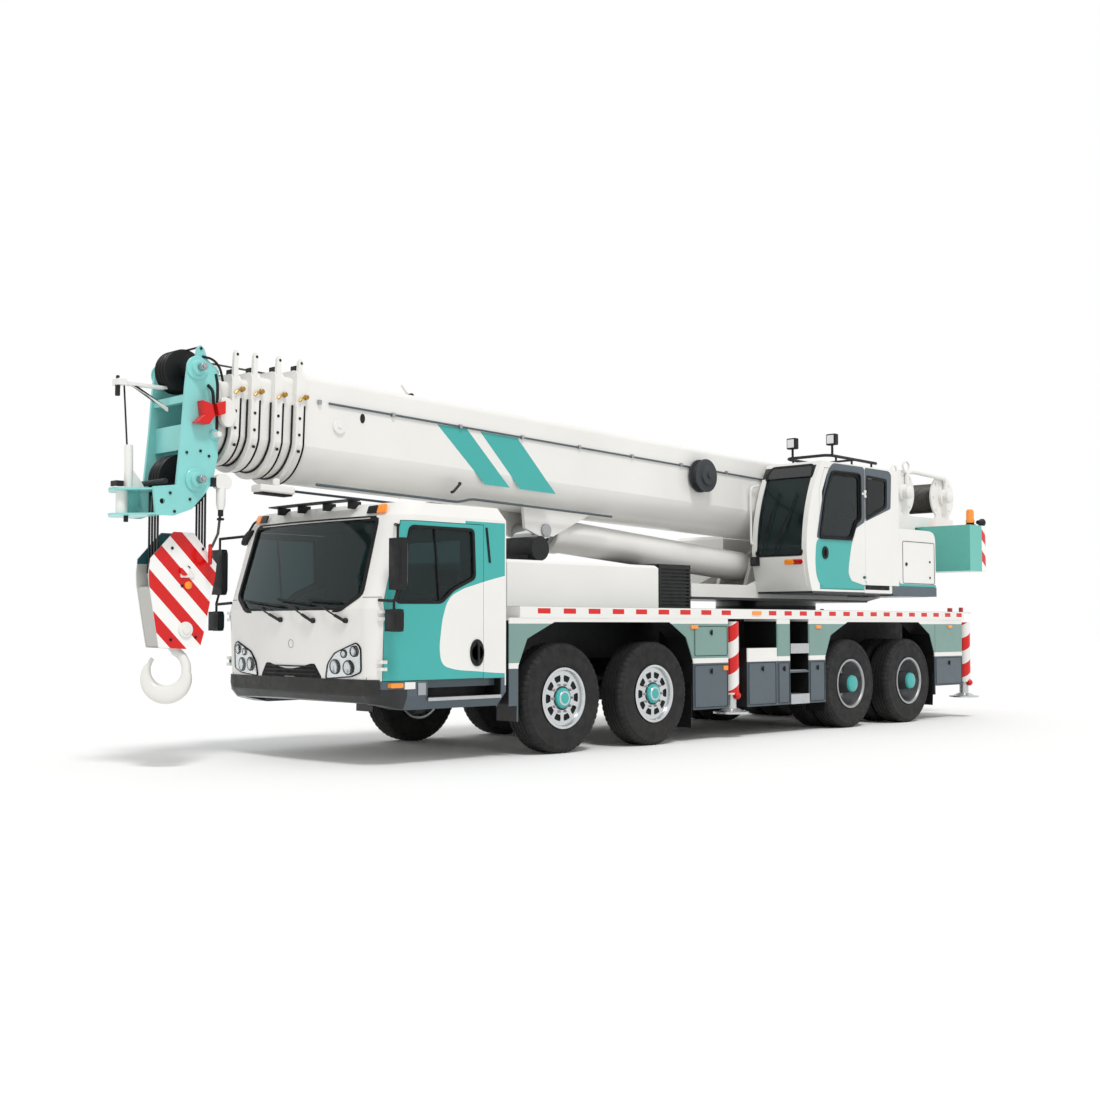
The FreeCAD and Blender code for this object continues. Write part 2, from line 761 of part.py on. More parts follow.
def cab_glass():
    """Windscreen and rear window."""
    film = cab_volume(14).cut(cab_volume(14 + glass_thickness))
    front = film.common(prism_yz(windscreen, 1900, 2700))
    rear = box(cab_rear + 20, cab_rear + 20 + glass_thickness, -rear_window_half, rear_window_half,
               1560, 2080)
    return [front, rear]


def cab_door():
    """Left door: the cab's own wall inside the door outline, with its window cut."""
    near, far = half_width - 150, half_width + 150
    slab = prism_xz(door_outline(panel_gap), near, far).common(cab_walls)
    slab = slab.cut(prism_xz(side_window, near, far))
    pieces = [slab, rod_y(1155, 1000, 70, half_width - 5, half_width + 12)]
    for z in cab_hinge_z:
        pieces.append(hinge(cab_hinge_x, z, 1, cab_hinge_surface, cab_hinge_root)[1])
    return fused(pieces)


def cab_seat(y):
    cushion = box(1100, 1560, y - 240, y + 240, 1010 + press_gap, 1130)
    back = prism_xz(((1000, 1130), (1110, 1100), (1000, 1790), (900, 1790)), y - 220, y + 220)
    return fused([cushion, back])


def cab_dashboard():
    end = half_width - 170
    board = prism_xz(((2100, 760 + press_gap), (2210, 760 + press_gap), (2210, 1300),
                      (2050, 1365), (1900, 1230), (1960, 960), (2100, 930)), -end, end)
    board = board.common(cab_volume(cab_wall + 1))
    column = bar_between((1970, seat_y, 1130), (1780, seat_y, 1330), 24)
    wheel = Part.makeTorus(215, 17, V(1770, seat_y, 1340), V(-0.69, 0, 0.725))
    spoke_a = bar_between((1780, seat_y - 210, 1332), (1780, seat_y + 210, 1332), 12)
    return fused([board, column, wheel, spoke_a])


save("cab_shell", cab_shell())
save("cab_glass", *cab_glass())
left_door = cab_door()
save("cab_door_left", left_door)
save("cab_door_right", mirrored(left_door))
save("cab_seats", cab_seat(seat_y), cab_seat(-seat_y))
save("cab_dashboard", cab_dashboard())

# Bumper with the step wells, and mirrors

bumper_bottom, bumper_nose_bottom = 500, 610


def bumper():
    top = cab_bottom - press_gap
    body = ruled_body([cab_plan(bumper_bottom, 60, 60), cab_plan(top - 60, 0, 20),
                       cab_plan(top, 0, 30)])
    wedge = prism_xz(((1950, 0), (1950, bumper_bottom), (2550, bumper_nose_bottom + 20),
                      (2550, 0)), -1.2 * half_width, 1.2 * half_width)
    hollow = box(700, 2220, 290 - half_width, half_width - 290, 0, 800)
    body = body.cut(wedge).cut(hollow)
    for side in (-1, 1):
        body = body.cut(box(step_rear, step_front, side * (half_width - 220),
                            side * (half_width + 150), step_tread, 800))
    bracket = box(cab_rail_front + press_gap, 2240, -rail_outer, rail_outer,
                  cab_rail_bottom + 20, top)
    return fused([body, bracket])


def arm_from(body, start, end, radius):
    """A round bar towards end that begins just clear of a body's surface; start is inside."""
    run = (V(*end) - V(*start)).normalize()
    inside = bar_between(start, end, radius).common(body)
    reach = max((point - V(*start)).dot(run)
                for edge in inside.Edges for point in edge.discretize(24))
    return bar_between(V(*start) + run * (reach + press_gap), end, radius)


def mirror_set():
    """Left mirrors on their tube arms at the windscreen pillar."""
    y = half_width
    head = box(2230, 2300, y + 80, y + 250, 1200, 1390)
    arm_low = arm_from(cab_outer, (2240, y - 100, 1475), (2265, y + 165, 1462), 14)
    drop = bar_between((2265, y + 160, 1480), (2265, y + 160, 1370), 12)
    arm_high = arm_from(cab_outer, (2040, y - 110, 2150), (2230, y + 170, 2120), 14)
    upper = box(2200, 2260, y + 80, y + 260, 1560, 2010)
    link = bar_between((2230, y + 164, 2128), (2230, y + 164, 1990), 12)
    low_link = bar_between((2230, y + 170, 1570), (2265, y + 166, 1462), 12)
    return fused([head, arm_low, drop, arm_high, upper, link, low_link])


save("bumper", bumper())
save("mirrors", mirror_set(), mirrored(mirror_set()))

# Turntable frame

cheek_inner, cheek_outer = 417, 447
rear_plate_front = -7510
turntable_floor = 1560
cheek_outline = (
    (-2950, turntable_floor), (-2950, 1745), (-4050, 1745), (-5050, 2100), (-6450, 2960),
    (-7050, 2960), (-7250, 2800), (-9020, 2800), (-9020, 2662), (-7960, 2662),
    (-7860, 2250), (-7100, 1640), (-6600, turntable_floor),
)
lift_lug_inner = lift_barrel_radius + 7
lift_lug_outer = lift_lug_inner + 50


def turntable_frame():
    cheek = prism_xz(cheek_outline, cheek_inner, cheek_outer)
    pieces = both_sides(cheek)
    pieces.append(box(-6700, -2950, -cheek_outer, cheek_outer, turntable_floor,
                      turntable_floor + 25))
    pieces.append(rod_z(slew_x, 0, slew_ring_radius, slew_ring_top + press_gap,
                        turntable_floor + 1))
    pieces.append(box(-9020, rear_plate_front, -cheek_outer, cheek_outer, 2776, 2800))
    pieces.append(box(-7880, -7850, -cheek_outer, cheek_outer, 2200, 2790))
    pieces.append(rod_y(boom_pivot_x, boom_pivot_z, boom_pivot_radius, -cheek_outer - 20,
                        cheek_outer + 20))
    lug = prism_xz(((lift_base_x - 420, turntable_floor), (lift_base_x + 300, turntable_floor),
                    (lift_base_x + 100, lift_base_z + 60), (lift_base_x - 100, lift_base_z + 60)),
                   lift_lug_inner, lift_lug_outer)
    pieces += both_sides(lug)
    pieces.append(rod_y(lift_base_x, lift_base_z, lift_pin_radius, -lift_lug_outer,
                        lift_lug_outer))
    return fused(pieces)


save("turntable_frame", turntable_frame())

# Operator's cab

op_inner, op_outer = cheek_outer + press_gap, half_width
op_rear, op_front = -6190, -4130
op_bottom, op_top = 1640, 3250
op_wall = 42
op_door_rear, op_door_front = -5380, -4400
op_door_bottom, op_door_top = 1690, 3170


def op_profile(inset):
    """Side outline: upright back, bowed and raked front."""
    y = op_inner + inset
    low, high = op_bottom + inset, op_top - inset
    rear, front = op_rear + inset, op_front - inset
    brow = V(front - 330, y, high)
    belly = V(front, y, 2250)
    toe = V(front - 120, y, low)
    return Part.Wire([
        Part.makeLine(V(rear, y, low), toe),
        Part.Arc(toe, V(front - 18, y, 1960), belly).toShape(),
        Part.Arc(belly, V(front - 110, y, 2800), brow).toShape(),
        Part.makeLine(brow, V(rear, y, high)),
        Part.makeLine(V(rear, y, high), V(rear, y, low)),
    ])


def op_volume(inset):
    face = Part.Face(op_profile(inset))
    return face.extrude(V(0, op_outer - op_inner - 2 * inset, 0))


op_walls = op_volume(0).cut(op_volume(op_wall))
op_door_outline = ((op_door_rear, op_door_bottom), (op_door_front, op_door_bottom),
                   (op_door_front, 2900), (op_door_front - 120, op_door_top),
                   (op_door_rear, op_door_top))
op_window = ((op_door_rear + 80, 2260), (op_door_front - 60, 2150), (op_door_front - 60, 2870),
             (op_door_front - 170, op_door_top - 70), (op_door_rear + 80, op_door_top - 70))
op_hinge_x = op_door_rear + panel_gap / 2
op_hinge_z = (1850, 2900)
op_front_window = box(-4800, -4000, op_inner + 70, op_outer - 70, 1760, 3060)
op_rear_side_window = box(op_rear + 90, op_door_rear - 70, op_outer - 60, op_outer + 10,
                          2450, 3100)


def op_cab_shell():
    shell = op_walls.cut(prism_xz(op_door_outline, op_outer - 60, op_outer + 20))
    shell = shell.cut(op_front_window).cut(op_rear_side_window)
    pieces = [shell, box(-5480, -5120, 700, 1000, op_bottom + 30, 2020),
              box(-4620, -4450, 640, 1060, op_bottom + 30, 2080)]
    for z in op_hinge_z:
        pieces += hinge(op_hinge_x, z, -1, op_outer)[0]
    return fused(pieces)


def op_cab_glass():
    film = op_volume(12).cut(op_volume(12 + glass_thickness))
    front = film.common(op_front_window)
    side = film.common(op_rear_side_window)
    return [front, side]


def op_cab_door():
    outline = prism_xz(op_door_outline, op_outer - 60, op_outer + 20)
    outline = outline.common(op_walls)
    inner = prism_xz([(x + panel_gap * (1 if x < -4900 else -1),
                       z + panel_gap * (1 if z < 2000 else -1)) for x, z in op_door_outline],
                     op_outer - 60, op_outer + 20)
    slab = outline.common(inner).cut(prism_xz(op_window, op_outer - 60, op_outer + 20))
    return fused([slab] + [hinge(op_hinge_x, z, -1, op_outer)[1] for z in op_hinge_z])


def op_cab_seat():
    cushion = box(-5500, -5020, 640, 1060, 2020 + press_gap, 2150)
    back = prism_xz(((-5560, 2150), (-5440, 2110), (-5540, 2830), (-5640, 2830)), 650, 1050)
    return fused([cushion, back])


save("op_cab_shell", op_cab_shell())
save("op_cab_glass", *op_cab_glass())
save("op_cab_door", op_cab_door())
save("op_cab_seat", op_cab_seat())

# Machinery housings beside the boom, counterweight and winches

housing_low, housing_band, housing_high = 1630, 1757, 2500


def machinery_side(front, rear, high):
    upper = box(rear, front, op_inner, half_width, housing_band, high)
    edges = [edge for edge in upper.Edges if edge.BoundBox.ZMin > high - 1]
    upper = upper.makeChamfer(40, edges)
    lower = box(rear, front, op_inner, half_width, housing_low, housing_band)
    body = upper.fuse(lower)
    corner = prism_xy(((rear - 1, half_width + 1), (rear - 1, half_width - 200),
                       (rear + 160, half_width + 1)), 1500, 3000)
    return body.cut(corner)


counter_front, counter_rear = -8040, -8570
counter_bottom, counter_top = 2010, 2650
# Columns: x and z of each winch's axle
winch_axles = ((-7700, 3125), (-8808, 3125))
winch_flange, winch_drum = 322, 190
winch_half_width = 400


def counterweight():
    body = box(counter_rear, counter_front, -half_width, half_width, counter_bottom, counter_top)
    rear_edges = [edge for edge in body.Edges
                  if edge.BoundBox.XMax < counter_rear + 1 and edge.BoundBox.ZLength > 100]
    body = body.makeFillet(120, rear_edges)
    neck = box(counter_front - 1, -7880 - press_gap, -370, 370, 2240, 2600)
    return body.fuse(neck)


def winch(x, z):
    drum = rod_y(x, z, winch_drum, -winch_half_width, winch_half_width)
    pieces = [drum]
    for side in (-1, 1):
        y0 = side * (winch_half_width - 25)
        pieces.append(rod_y(x, z, winch_flange, min(y0, side * winch_half_width),
                            max(y0, side * winch_half_width)))
        foot = prism_xz(((x - 200, 2800), (x + 200, 2800), (x + 110, z), (x - 110, z)),
                        min(y0, side * winch_half_width), max(y0, side * winch_half_width))
        pieces.append(foot)
    return fused(pieces)


left_housing = machinery_side(op_rear - 20, -7100, housing_high)
right_housing = mirrored(machinery_side(-4700, -7100, housing_high - 80))
save("machinery_housing", left_housing, right_housing)
save("counterweight", counterweight())
save("winches", *[winch(x, z) for x, z in winch_axles])

# Boom sections


def boom_wire(x, half, floor, top, corner):
    """Boom section: flat top with round corners, upright sides and a round belly."""
    shoulder = floor + 0.78 * half
    k = corner * (1 - math.sqrt(0.5))
    return Part.Wire([
        Part.makeLine(V(x, -half, shoulder), V(x, -half, top - corner)),
        Part.Arc(V(x, -half, top - corner), V(x, -half + k, top - k),
                 V(x, -half + corner, top)).toShape(),
        Part.makeLine(V(x, -half + corner, top), V(x, half - corner, top)),
        Part.Arc(V(x, half - corner, top), V(x, half - k, top - k),
                 V(x, half, top - corner)).toShape(),
        Part.makeLine(V(x, half, top - corner), V(x, half, shoulder)),
        Part.Arc(V(x, half, shoulder), V(x, 0, floor), V(x, -half, shoulder)).toShape(),
    ])


def boom_solid(rear, front, level, grow):
    """A full bar with the outline of one section, grown outwards by grow."""
    shrink = level * boom_step - grow
    face = Part.Face(boom_wire(rear, boom_half_width - shrink, boom_floor + shrink,
                               boom_top - shrink, 60))
    return face.extrude(V(front - rear, 0, 0))


def boom_tube(level, rear, front):
    """One section's plain tube."""
    inner = boom_solid(rear - 1, front + 1, level, -boom_wall)
    return boom_solid(rear, front, level, 0).cut(inner)


def collar(level, front):
    """The ring at a section's mouth, with its tall rope lugs."""
    ring = boom_solid(front - collar_length, front, level, 22)
    outer = boom_half_width - level * boom_step + 22
    low = boom_top - level * boom_step - 120
    lug = prism_xz(((front - 60, low), (front - 10, low), (front - 14, lug_tip - 25),
                    (front - 25, lug_tip), (front - 45, lug_tip), (front - 56, lug_tip - 25)),
                   outer - 34, outer)
    body = fused([ring] + both_sides(lug))
    return body.cut(boom_solid(front - collar_length - 1, front + 1, level + 1, press_gap))


def placed(shape):
    """Turn a boom piece from the pivot's frame to its place on the crane."""
    turned = shape.copy()
    turned.rotate(V(0, 0, 0), V(0, 1, 0), -boom_slope)
    turned.translate(V(boom_pivot_x, 0, boom_pivot_z))
    return turned


lift_lug_y0, lift_lug_y1 = 195, 235


def tail_corner(size):
    """The wedge that is taken off the upper corner of the boom's tail."""
    return prism_xz(((boom_tail - 1, boom_top + 1), (boom_tail - 1, boom_top - size),
                     (boom_tail + size, boom_top + 1)), -500, 500)


def boom_base():
    front = collar_front[0] - collar_length
    outside = boom_solid(boom_tail, front, 0, 0).cut(tail_corner(tail_chamfer))
    inside = boom_solid(boom_tail + boom_wall, front + 1, 0, -boom_wall)
    inside = inside.cut(tail_corner(tail_chamfer + 2 * boom_wall))
    ends = [outside.cut(inside), collar(0, collar_front[0])]
    for side in (-1, 1):
        y0, y1 = side * (boom_half_width - 12), side * (boom_half_width + 10)
        ends.append(rod_y(0, 0, 150, min(y0, y1), max(y0, y1)))
    body = fused(ends)
    body = body.cut(rod_y(0, 0, boom_pivot_radius + running_gap, -600, 600))
    body = placed(body)
    lug = prism_xz(((lift_eye_x - 750, 2500), (lift_eye_x + 330, 2540),
                    (lift_eye_x + 300, lift_eye_z + 10), (lift_eye_x + 90, lift_eye_z - 60),
                    (lift_eye_x - 120, lift_eye_z - 60)), lift_lug_y0, lift_lug_y1)
    inner = placed(boom_solid(boom_tail, 9000, 0, -boom_wall / 2))
    lugs = [piece.cut(inner) for piece in both_sides(lug)]
    return fused([body] + lugs)


def boom_section(level):
    front = collar_front[level] if level < section_count - 1 else head_root
    rear = 330 + 60 * level
    tube = boom_tube(level, rear, front - (collar_length if level < section_count - 1 else 0))
    foot = boom_solid(rear, rear + 60, level, boom_step - boom_wall - press_gap)
    foot = foot.cut(boom_solid(rear - 1, rear + 61, level, -boom_wall))
    pieces = [tube, foot]
    if level < section_count - 1:
        pieces.append(collar(level, front))
    return placed(fused(pieces))


# Boom head

head_root = 10260
head_plate_rear = 3330
head_inner, head_outer = 262, 290
upper_sheave = (3547, 3469)
lower_sheave = (3545, 2500)
sheave_pin_radius = 40
sheave_radius = 240
sheave_groove = 20
upper_sheave_radius = 190
sheave_pitch = 47
sheave_rows = 4
jib_pin_x, jib_pin_z, jib_pin_radius = 3860, 2300, 25
head_outline = (
    (3330, 2720), (3330, 3470), (3400, 3525), (3445, 3560), (3475, 3645), (3510, 3675),
    (3545, 3645), (3562, 3535), (3634, 3490), (3655, 3300), (3680, 2940), (3730, 2447),
    (3944, 2419), (3919, 2182), (3750, 2182), (3578, 2247), (3440, 2400), (3372, 2519),
)
# The jib bracket's flanges, seen from above, from cheek to cheek
bracket_plan = ((3835, 290), (3930, 290), (boom_head_front, 0), (boom_head_front, -60),
                (4040, -290), (3835, -290))
bracket_levels = (2182, 2394)
bracket_plate = 16


def boom_head():
    """Cheek plates, cross plates and pins of the boom head."""
    cheek = prism_xz(head_outline, head_inner, head_outer)
    pieces = both_sides(cheek)
    pieces.append(box(head_plate_rear, head_plate_rear + 22, -head_outer, head_outer, 2740, 3370))
    pieces.append(box(3600, 3622, -head_outer, head_outer, 2765, 2985))
    pieces.append(box(3590, 3640, -head_outer, head_outer, 3170, 3235))
    for z in bracket_levels:
        face = Part.Face(wire_of([V(x, y, z) for x, y in bracket_plan]))
        pieces.append(face.extrude(V(0, 0, bracket_plate)))
    low, high = bracket_levels
    pieces.append(box(3900, 4060, -40, -24, low, high + 2))
    pieces.append(rod_z(4060, -32, 50, low, high + bracket_plate))
    for x, z in (upper_sheave, lower_sheave):
        pieces.append(rod_y(x, z, sheave_pin_radius, -head_outer - 25, head_outer + 25))
    jib_bore = rod_y(jib_pin_x, jib_pin_z, jib_pin_radius, -head_outer - 1, head_outer + 1)
    return fused(pieces).cut(jib_bore)


def sheave_pack(x, z, radius, bore):
    """A row of grooved sheaves on one pin, as one turned piece."""
    half = sheave_pitch * sheave_rows / 2
    outline = [(bore, -half)]
    for row in range(sheave_rows):
        y = -half + row * sheave_pitch
        outline += [(radius, y + 5), (radius - sheave_groove, y + sheave_pitch / 2 - 5),
                    (radius - sheave_groove, y + sheave_pitch / 2 + 5),
                    (radius, y + sheave_pitch - 5)]
        if row < sheave_rows - 1:
            outline.append((radius - 60, y + sheave_pitch))
    outline.append((bore, half))
    return revolve_y(outline, x, z)


def sheave_spacers(x, z, face):
    """Bushes on a sheave pin between the sheaves and the plates at each side."""
    half = sheave_pitch * sheave_rows / 2
    bush = tube_y(x, z, sheave_pin_radius + 22, sheave_pin_radius + running_gap,
                  half + press_gap, face - press_gap)
    return both_sides(bush)


for level in range(1, section_count - 1):
    save("boom_section_" + str(level + 1), boom_section(level))
save("boom_base", boom_base())
section_5 = boom_section(4).cut(box(head_plate_rear - press_gap, boom_head_front, -500, 500,
                                    boom_pivot_z, 4000))
save("boom_section_5", section_5, boom_head())
pin_bore = sheave_pin_radius + running_gap
save("sheaves", sheave_pack(*upper_sheave, upper_sheave_radius, pin_bore),
     sheave_pack(*lower_sheave, sheave_radius, pin_bore),
     *sheave_spacers(*upper_sheave, head_inner), *sheave_spacers(*lower_sheave, head_inner))

# Lift cylinder


def along_lift(x0, x1, radius):
    """A round bar on the cylinder's axis; x0 and x1 are lengths from its lower pin."""
    run = V(lift_eye_x - lift_base_x, 0, lift_eye_z - lift_base_z)
    run.normalize()
    base = V(lift_base_x, 0, lift_base_z)
    return Part.makeCylinder(radius, x1 - x0, base + run * x0, run)


lift_length = math.hypot(lift_eye_x - lift_base_x, lift_eye_z - lift_base_z)
barrel_mouth = lift_length - 230
lift_eye_radius = 100


def lift_barrel():
    body = along_lift(60, barrel_mouth, lift_barrel_radius)
    eye = rod_y(lift_base_x, lift_base_z, 110, -lift_lug_inner + 6, lift_lug_inner - 6)
    neck = along_lift(0, 100, 100)
    barrel = fused([body, eye, neck])
    barrel = barrel.cut(rod_y(lift_base_x, lift_base_z, lift_pin_radius + running_gap, -300, 300))
    return barrel.cut(along_lift(200, barrel_mouth + 1, lift_bore_radius + running_gap))


def lift_rod():
    rod = along_lift(260, lift_length - 60, lift_bore_radius)
    eye = rod_y(lift_eye_x, lift_eye_z, lift_eye_radius, -lift_lug_y0 + 6, lift_lug_y0 - 6)
    return fused([rod, eye])


save("lift_barrel", lift_barrel())
save("lift_rod", lift_rod())

# Hook block, its falls of rope, and the hook

block_half_width = 110
block_plate = 12
block_x, block_z = lower_sheave[0], 1720
# Outline of a side plate, as places from the block's middle line and heights
block_outline = (
    (-95, 2058), (95, 2058), (160, 1992), (318, 1822), (330, 1700), (326, 1600), (228, 1062),
    (-20, 1048), (-172, 1058), (-208, 1180), (-316, 1686), (-328, 1794),
)
rope_radius = 10
fall_offset = sheave_radius - sheave_groove + rope_radius + 2 * press_gap
crosshead_bottom, crosshead_top = 1090, 1190
shank_radius = 42
hook_turn = -45
hook_bar, hook_bowl = 50, 132
hook_bottom = 557


def hook_block():
    """Two side plates on the sheave axle and the crosshead, with the sheaves between them."""
    outline = [(block_x + x, z) for x, z in block_outline]
    plate = prism_xz(outline, block_half_width - block_plate, block_half_width)
    pieces = both_sides(plate)
    pieces.append(rod_y(block_x, block_z, sheave_pin_radius, -block_half_width - 22,
                        block_half_width + 22))
    pieces.append(box(block_x - 110, block_x + 110, -block_half_width, block_half_width,
                      crosshead_bottom, crosshead_top))
    body = fused(pieces)
    bore = rod_z(block_x, 0, shank_radius + running_gap, crosshead_bottom - 50,
                 crosshead_top + 50)
    gap = box(block_x - 60, block_x + 60, -60, 60, 1000, crosshead_bottom)
    body = body.cut(bore).cut(gap)
    sheaves = sheave_pack(block_x, block_z, sheave_radius, sheave_pin_radius + running_gap)
    return [body, sheaves] + sheave_spacers(block_x, block_z, block_half_width - block_plate)


def rope_falls():
    """The parts of rope between the block's sheaves and the boom head's."""
    falls = []
    for row in range(sheave_rows):
        y = (row + 0.5) * sheave_pitch - sheave_pitch * sheave_rows / 2
        for side in (-1, 1):
            falls.append(rod_z(block_x + side * fall_offset, y, rope_radius, block_z,
                               lower_sheave[1]))
    return falls


def hook():
    """Shank with its nut, bowl and tip of a single forged hook."""
    bowl_z = hook_bottom + hook_bowl + hook_bar
    shank = rod_z(0, 0, shank_radius, bowl_z + hook_bowl - 20, crosshead_top + 60)
    nut = rod_z(0, 0, 75, crosshead_top + press_gap, crosshead_top + 60)
    shoulder = rod_z(0, 0, 58, bowl_z + hook_bowl - 30, crosshead_bottom - press_gap)
    bowl = Part.makeTorus(hook_bowl, hook_bar, V(0, 0, bowl_z), V(0, 1, 0), -180, 180, 260)
    bowl.rotate(V(0, 0, bowl_z), V(0, 1, 0), -100)
    whole = fused([shank, nut, shoulder, bowl])
    whole.rotate(V(0, 0, 0), V(0, 0, 1), hook_turn)
    whole.translate(V(block_x, 0, 0))
    return whole


save("hook_block", *hook_block(), *rope_falls())
save("hook", hook())
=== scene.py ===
"""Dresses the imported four-axle mobile crane: finishes, trim, tyres, rigging, camera and light.

All sizes are metres.  Pieces are worked out in vehicle coordinates, where x is 0 at the
first axle and points forward, y points to the vehicle's left and z is height; boom pieces
are worked out along the boom, from its pivot.  One shift along x brings them to the frame.
"""

import logging
import math
from dataclasses import dataclass, field
from enum import Enum

import bmesh
import bpy
import numpy as np
from mathutils import Matrix, Vector


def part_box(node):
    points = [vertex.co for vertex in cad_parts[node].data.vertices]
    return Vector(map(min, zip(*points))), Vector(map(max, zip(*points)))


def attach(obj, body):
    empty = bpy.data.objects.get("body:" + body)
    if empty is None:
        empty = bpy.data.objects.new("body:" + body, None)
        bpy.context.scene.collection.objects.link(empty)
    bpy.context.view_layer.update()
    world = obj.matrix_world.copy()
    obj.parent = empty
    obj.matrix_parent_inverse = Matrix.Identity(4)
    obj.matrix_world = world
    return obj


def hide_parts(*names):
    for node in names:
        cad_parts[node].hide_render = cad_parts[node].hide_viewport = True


log = logging.getLogger("crane")
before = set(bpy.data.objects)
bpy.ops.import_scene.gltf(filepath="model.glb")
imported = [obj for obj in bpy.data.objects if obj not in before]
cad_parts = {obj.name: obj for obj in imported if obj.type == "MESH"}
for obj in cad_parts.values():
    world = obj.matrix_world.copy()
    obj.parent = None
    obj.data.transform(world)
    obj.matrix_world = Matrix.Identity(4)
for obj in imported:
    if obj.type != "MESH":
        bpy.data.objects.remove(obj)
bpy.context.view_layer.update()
TYRE_LOW, TYRE_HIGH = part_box("tyre_1_left")
SHIFT = (TYRE_LOW[0] + TYRE_HIGH[0]) / 2
PIVOT = (-6.9, 0.0, 2.72)
SLOPE = math.radians(1.8)
COAT_ROUGHNESS = 0.05
WELD_DISTANCE = 1e-5
FLOOR_REACH = 90.0
ROAD_DUST, FLOOR_WHITE = "8C8478", "F6F6F5"


class Axis(Enum):
    """A direction of the vehicle, with its place in a point."""

    X = 0
    Y = 1
    Z = 2


def linear(code: str) -> tuple[float, float, float, float]:
    """Turn an sRGB hex colour to linear light.

    Args:
        code: six hex digits.

    Returns:
        Red, green, blue and an alpha of 1.
    """
    parts = [int(code[i:i + 2], 16) / 255 for i in (0, 2, 4)]
    red, green, blue = (p / 12.92 if p <= 0.04045 else ((p + 0.055) / 1.055) ** 2.4
                        for p in parts)
    return (red, green, blue, 1.0)


def add_node(tree: bpy.types.NodeTree, kind: str, settings: dict | None = None,
             links: dict | None = None) -> bpy.types.Node:
    """Add one shader node.

    Args:
        tree: the material's tree.
        kind: the node's type name.
        settings: the node's own properties.
        links: for each input socket a node, a socket or a plain value.

    Returns:
        The new node.
    """
    node = tree.nodes.new(kind)
    for name, value in (settings or {}).items():
        setattr(node, name, value)
    for socket, value in (links or {}).items():
        if isinstance(value, bpy.types.Node):
            value = value.outputs[0]
        if isinstance(value, bpy.types.NodeSocket):
            tree.links.new(value, node.inputs[socket])
        else:
            node.inputs[socket].default_value = value
    return node


def maths(tree: bpy.types.NodeTree, operation: str, *values: object) -> bpy.types.Node:
    """Add a maths node whose inputs are sockets, nodes or numbers, in order."""
    return add_node(tree, "ShaderNodeMath", {"operation": operation}, dict(enumerate(values)))


@dataclass(frozen=True)
class Stripe:
    """Bands of colour: their direction, pitch, the share that is painted, and the offset."""

    along: tuple[float, float, float]
    pitch: float
    share: float = 0.5
    offset: float = 0.0


@dataclass(frozen=True)
class Zone:
    """A part of a surface that has a colour of its own, between two corners.

    rear_of holds (height, x) pairs; the zone then lies behind the line through them.
    """

    colour: str
    low: tuple = (None, None, None)
    high: tuple = (None, None, None)
    stripe: Stripe | None = None
    rear_of: tuple = ()


def layer(colour: str, low: float | None, high: float | None = None,
          **rest: object) -> Zone:
    """A zone between two heights."""
    return Zone(colour, (None, None, low), (None, None, high), **rest)


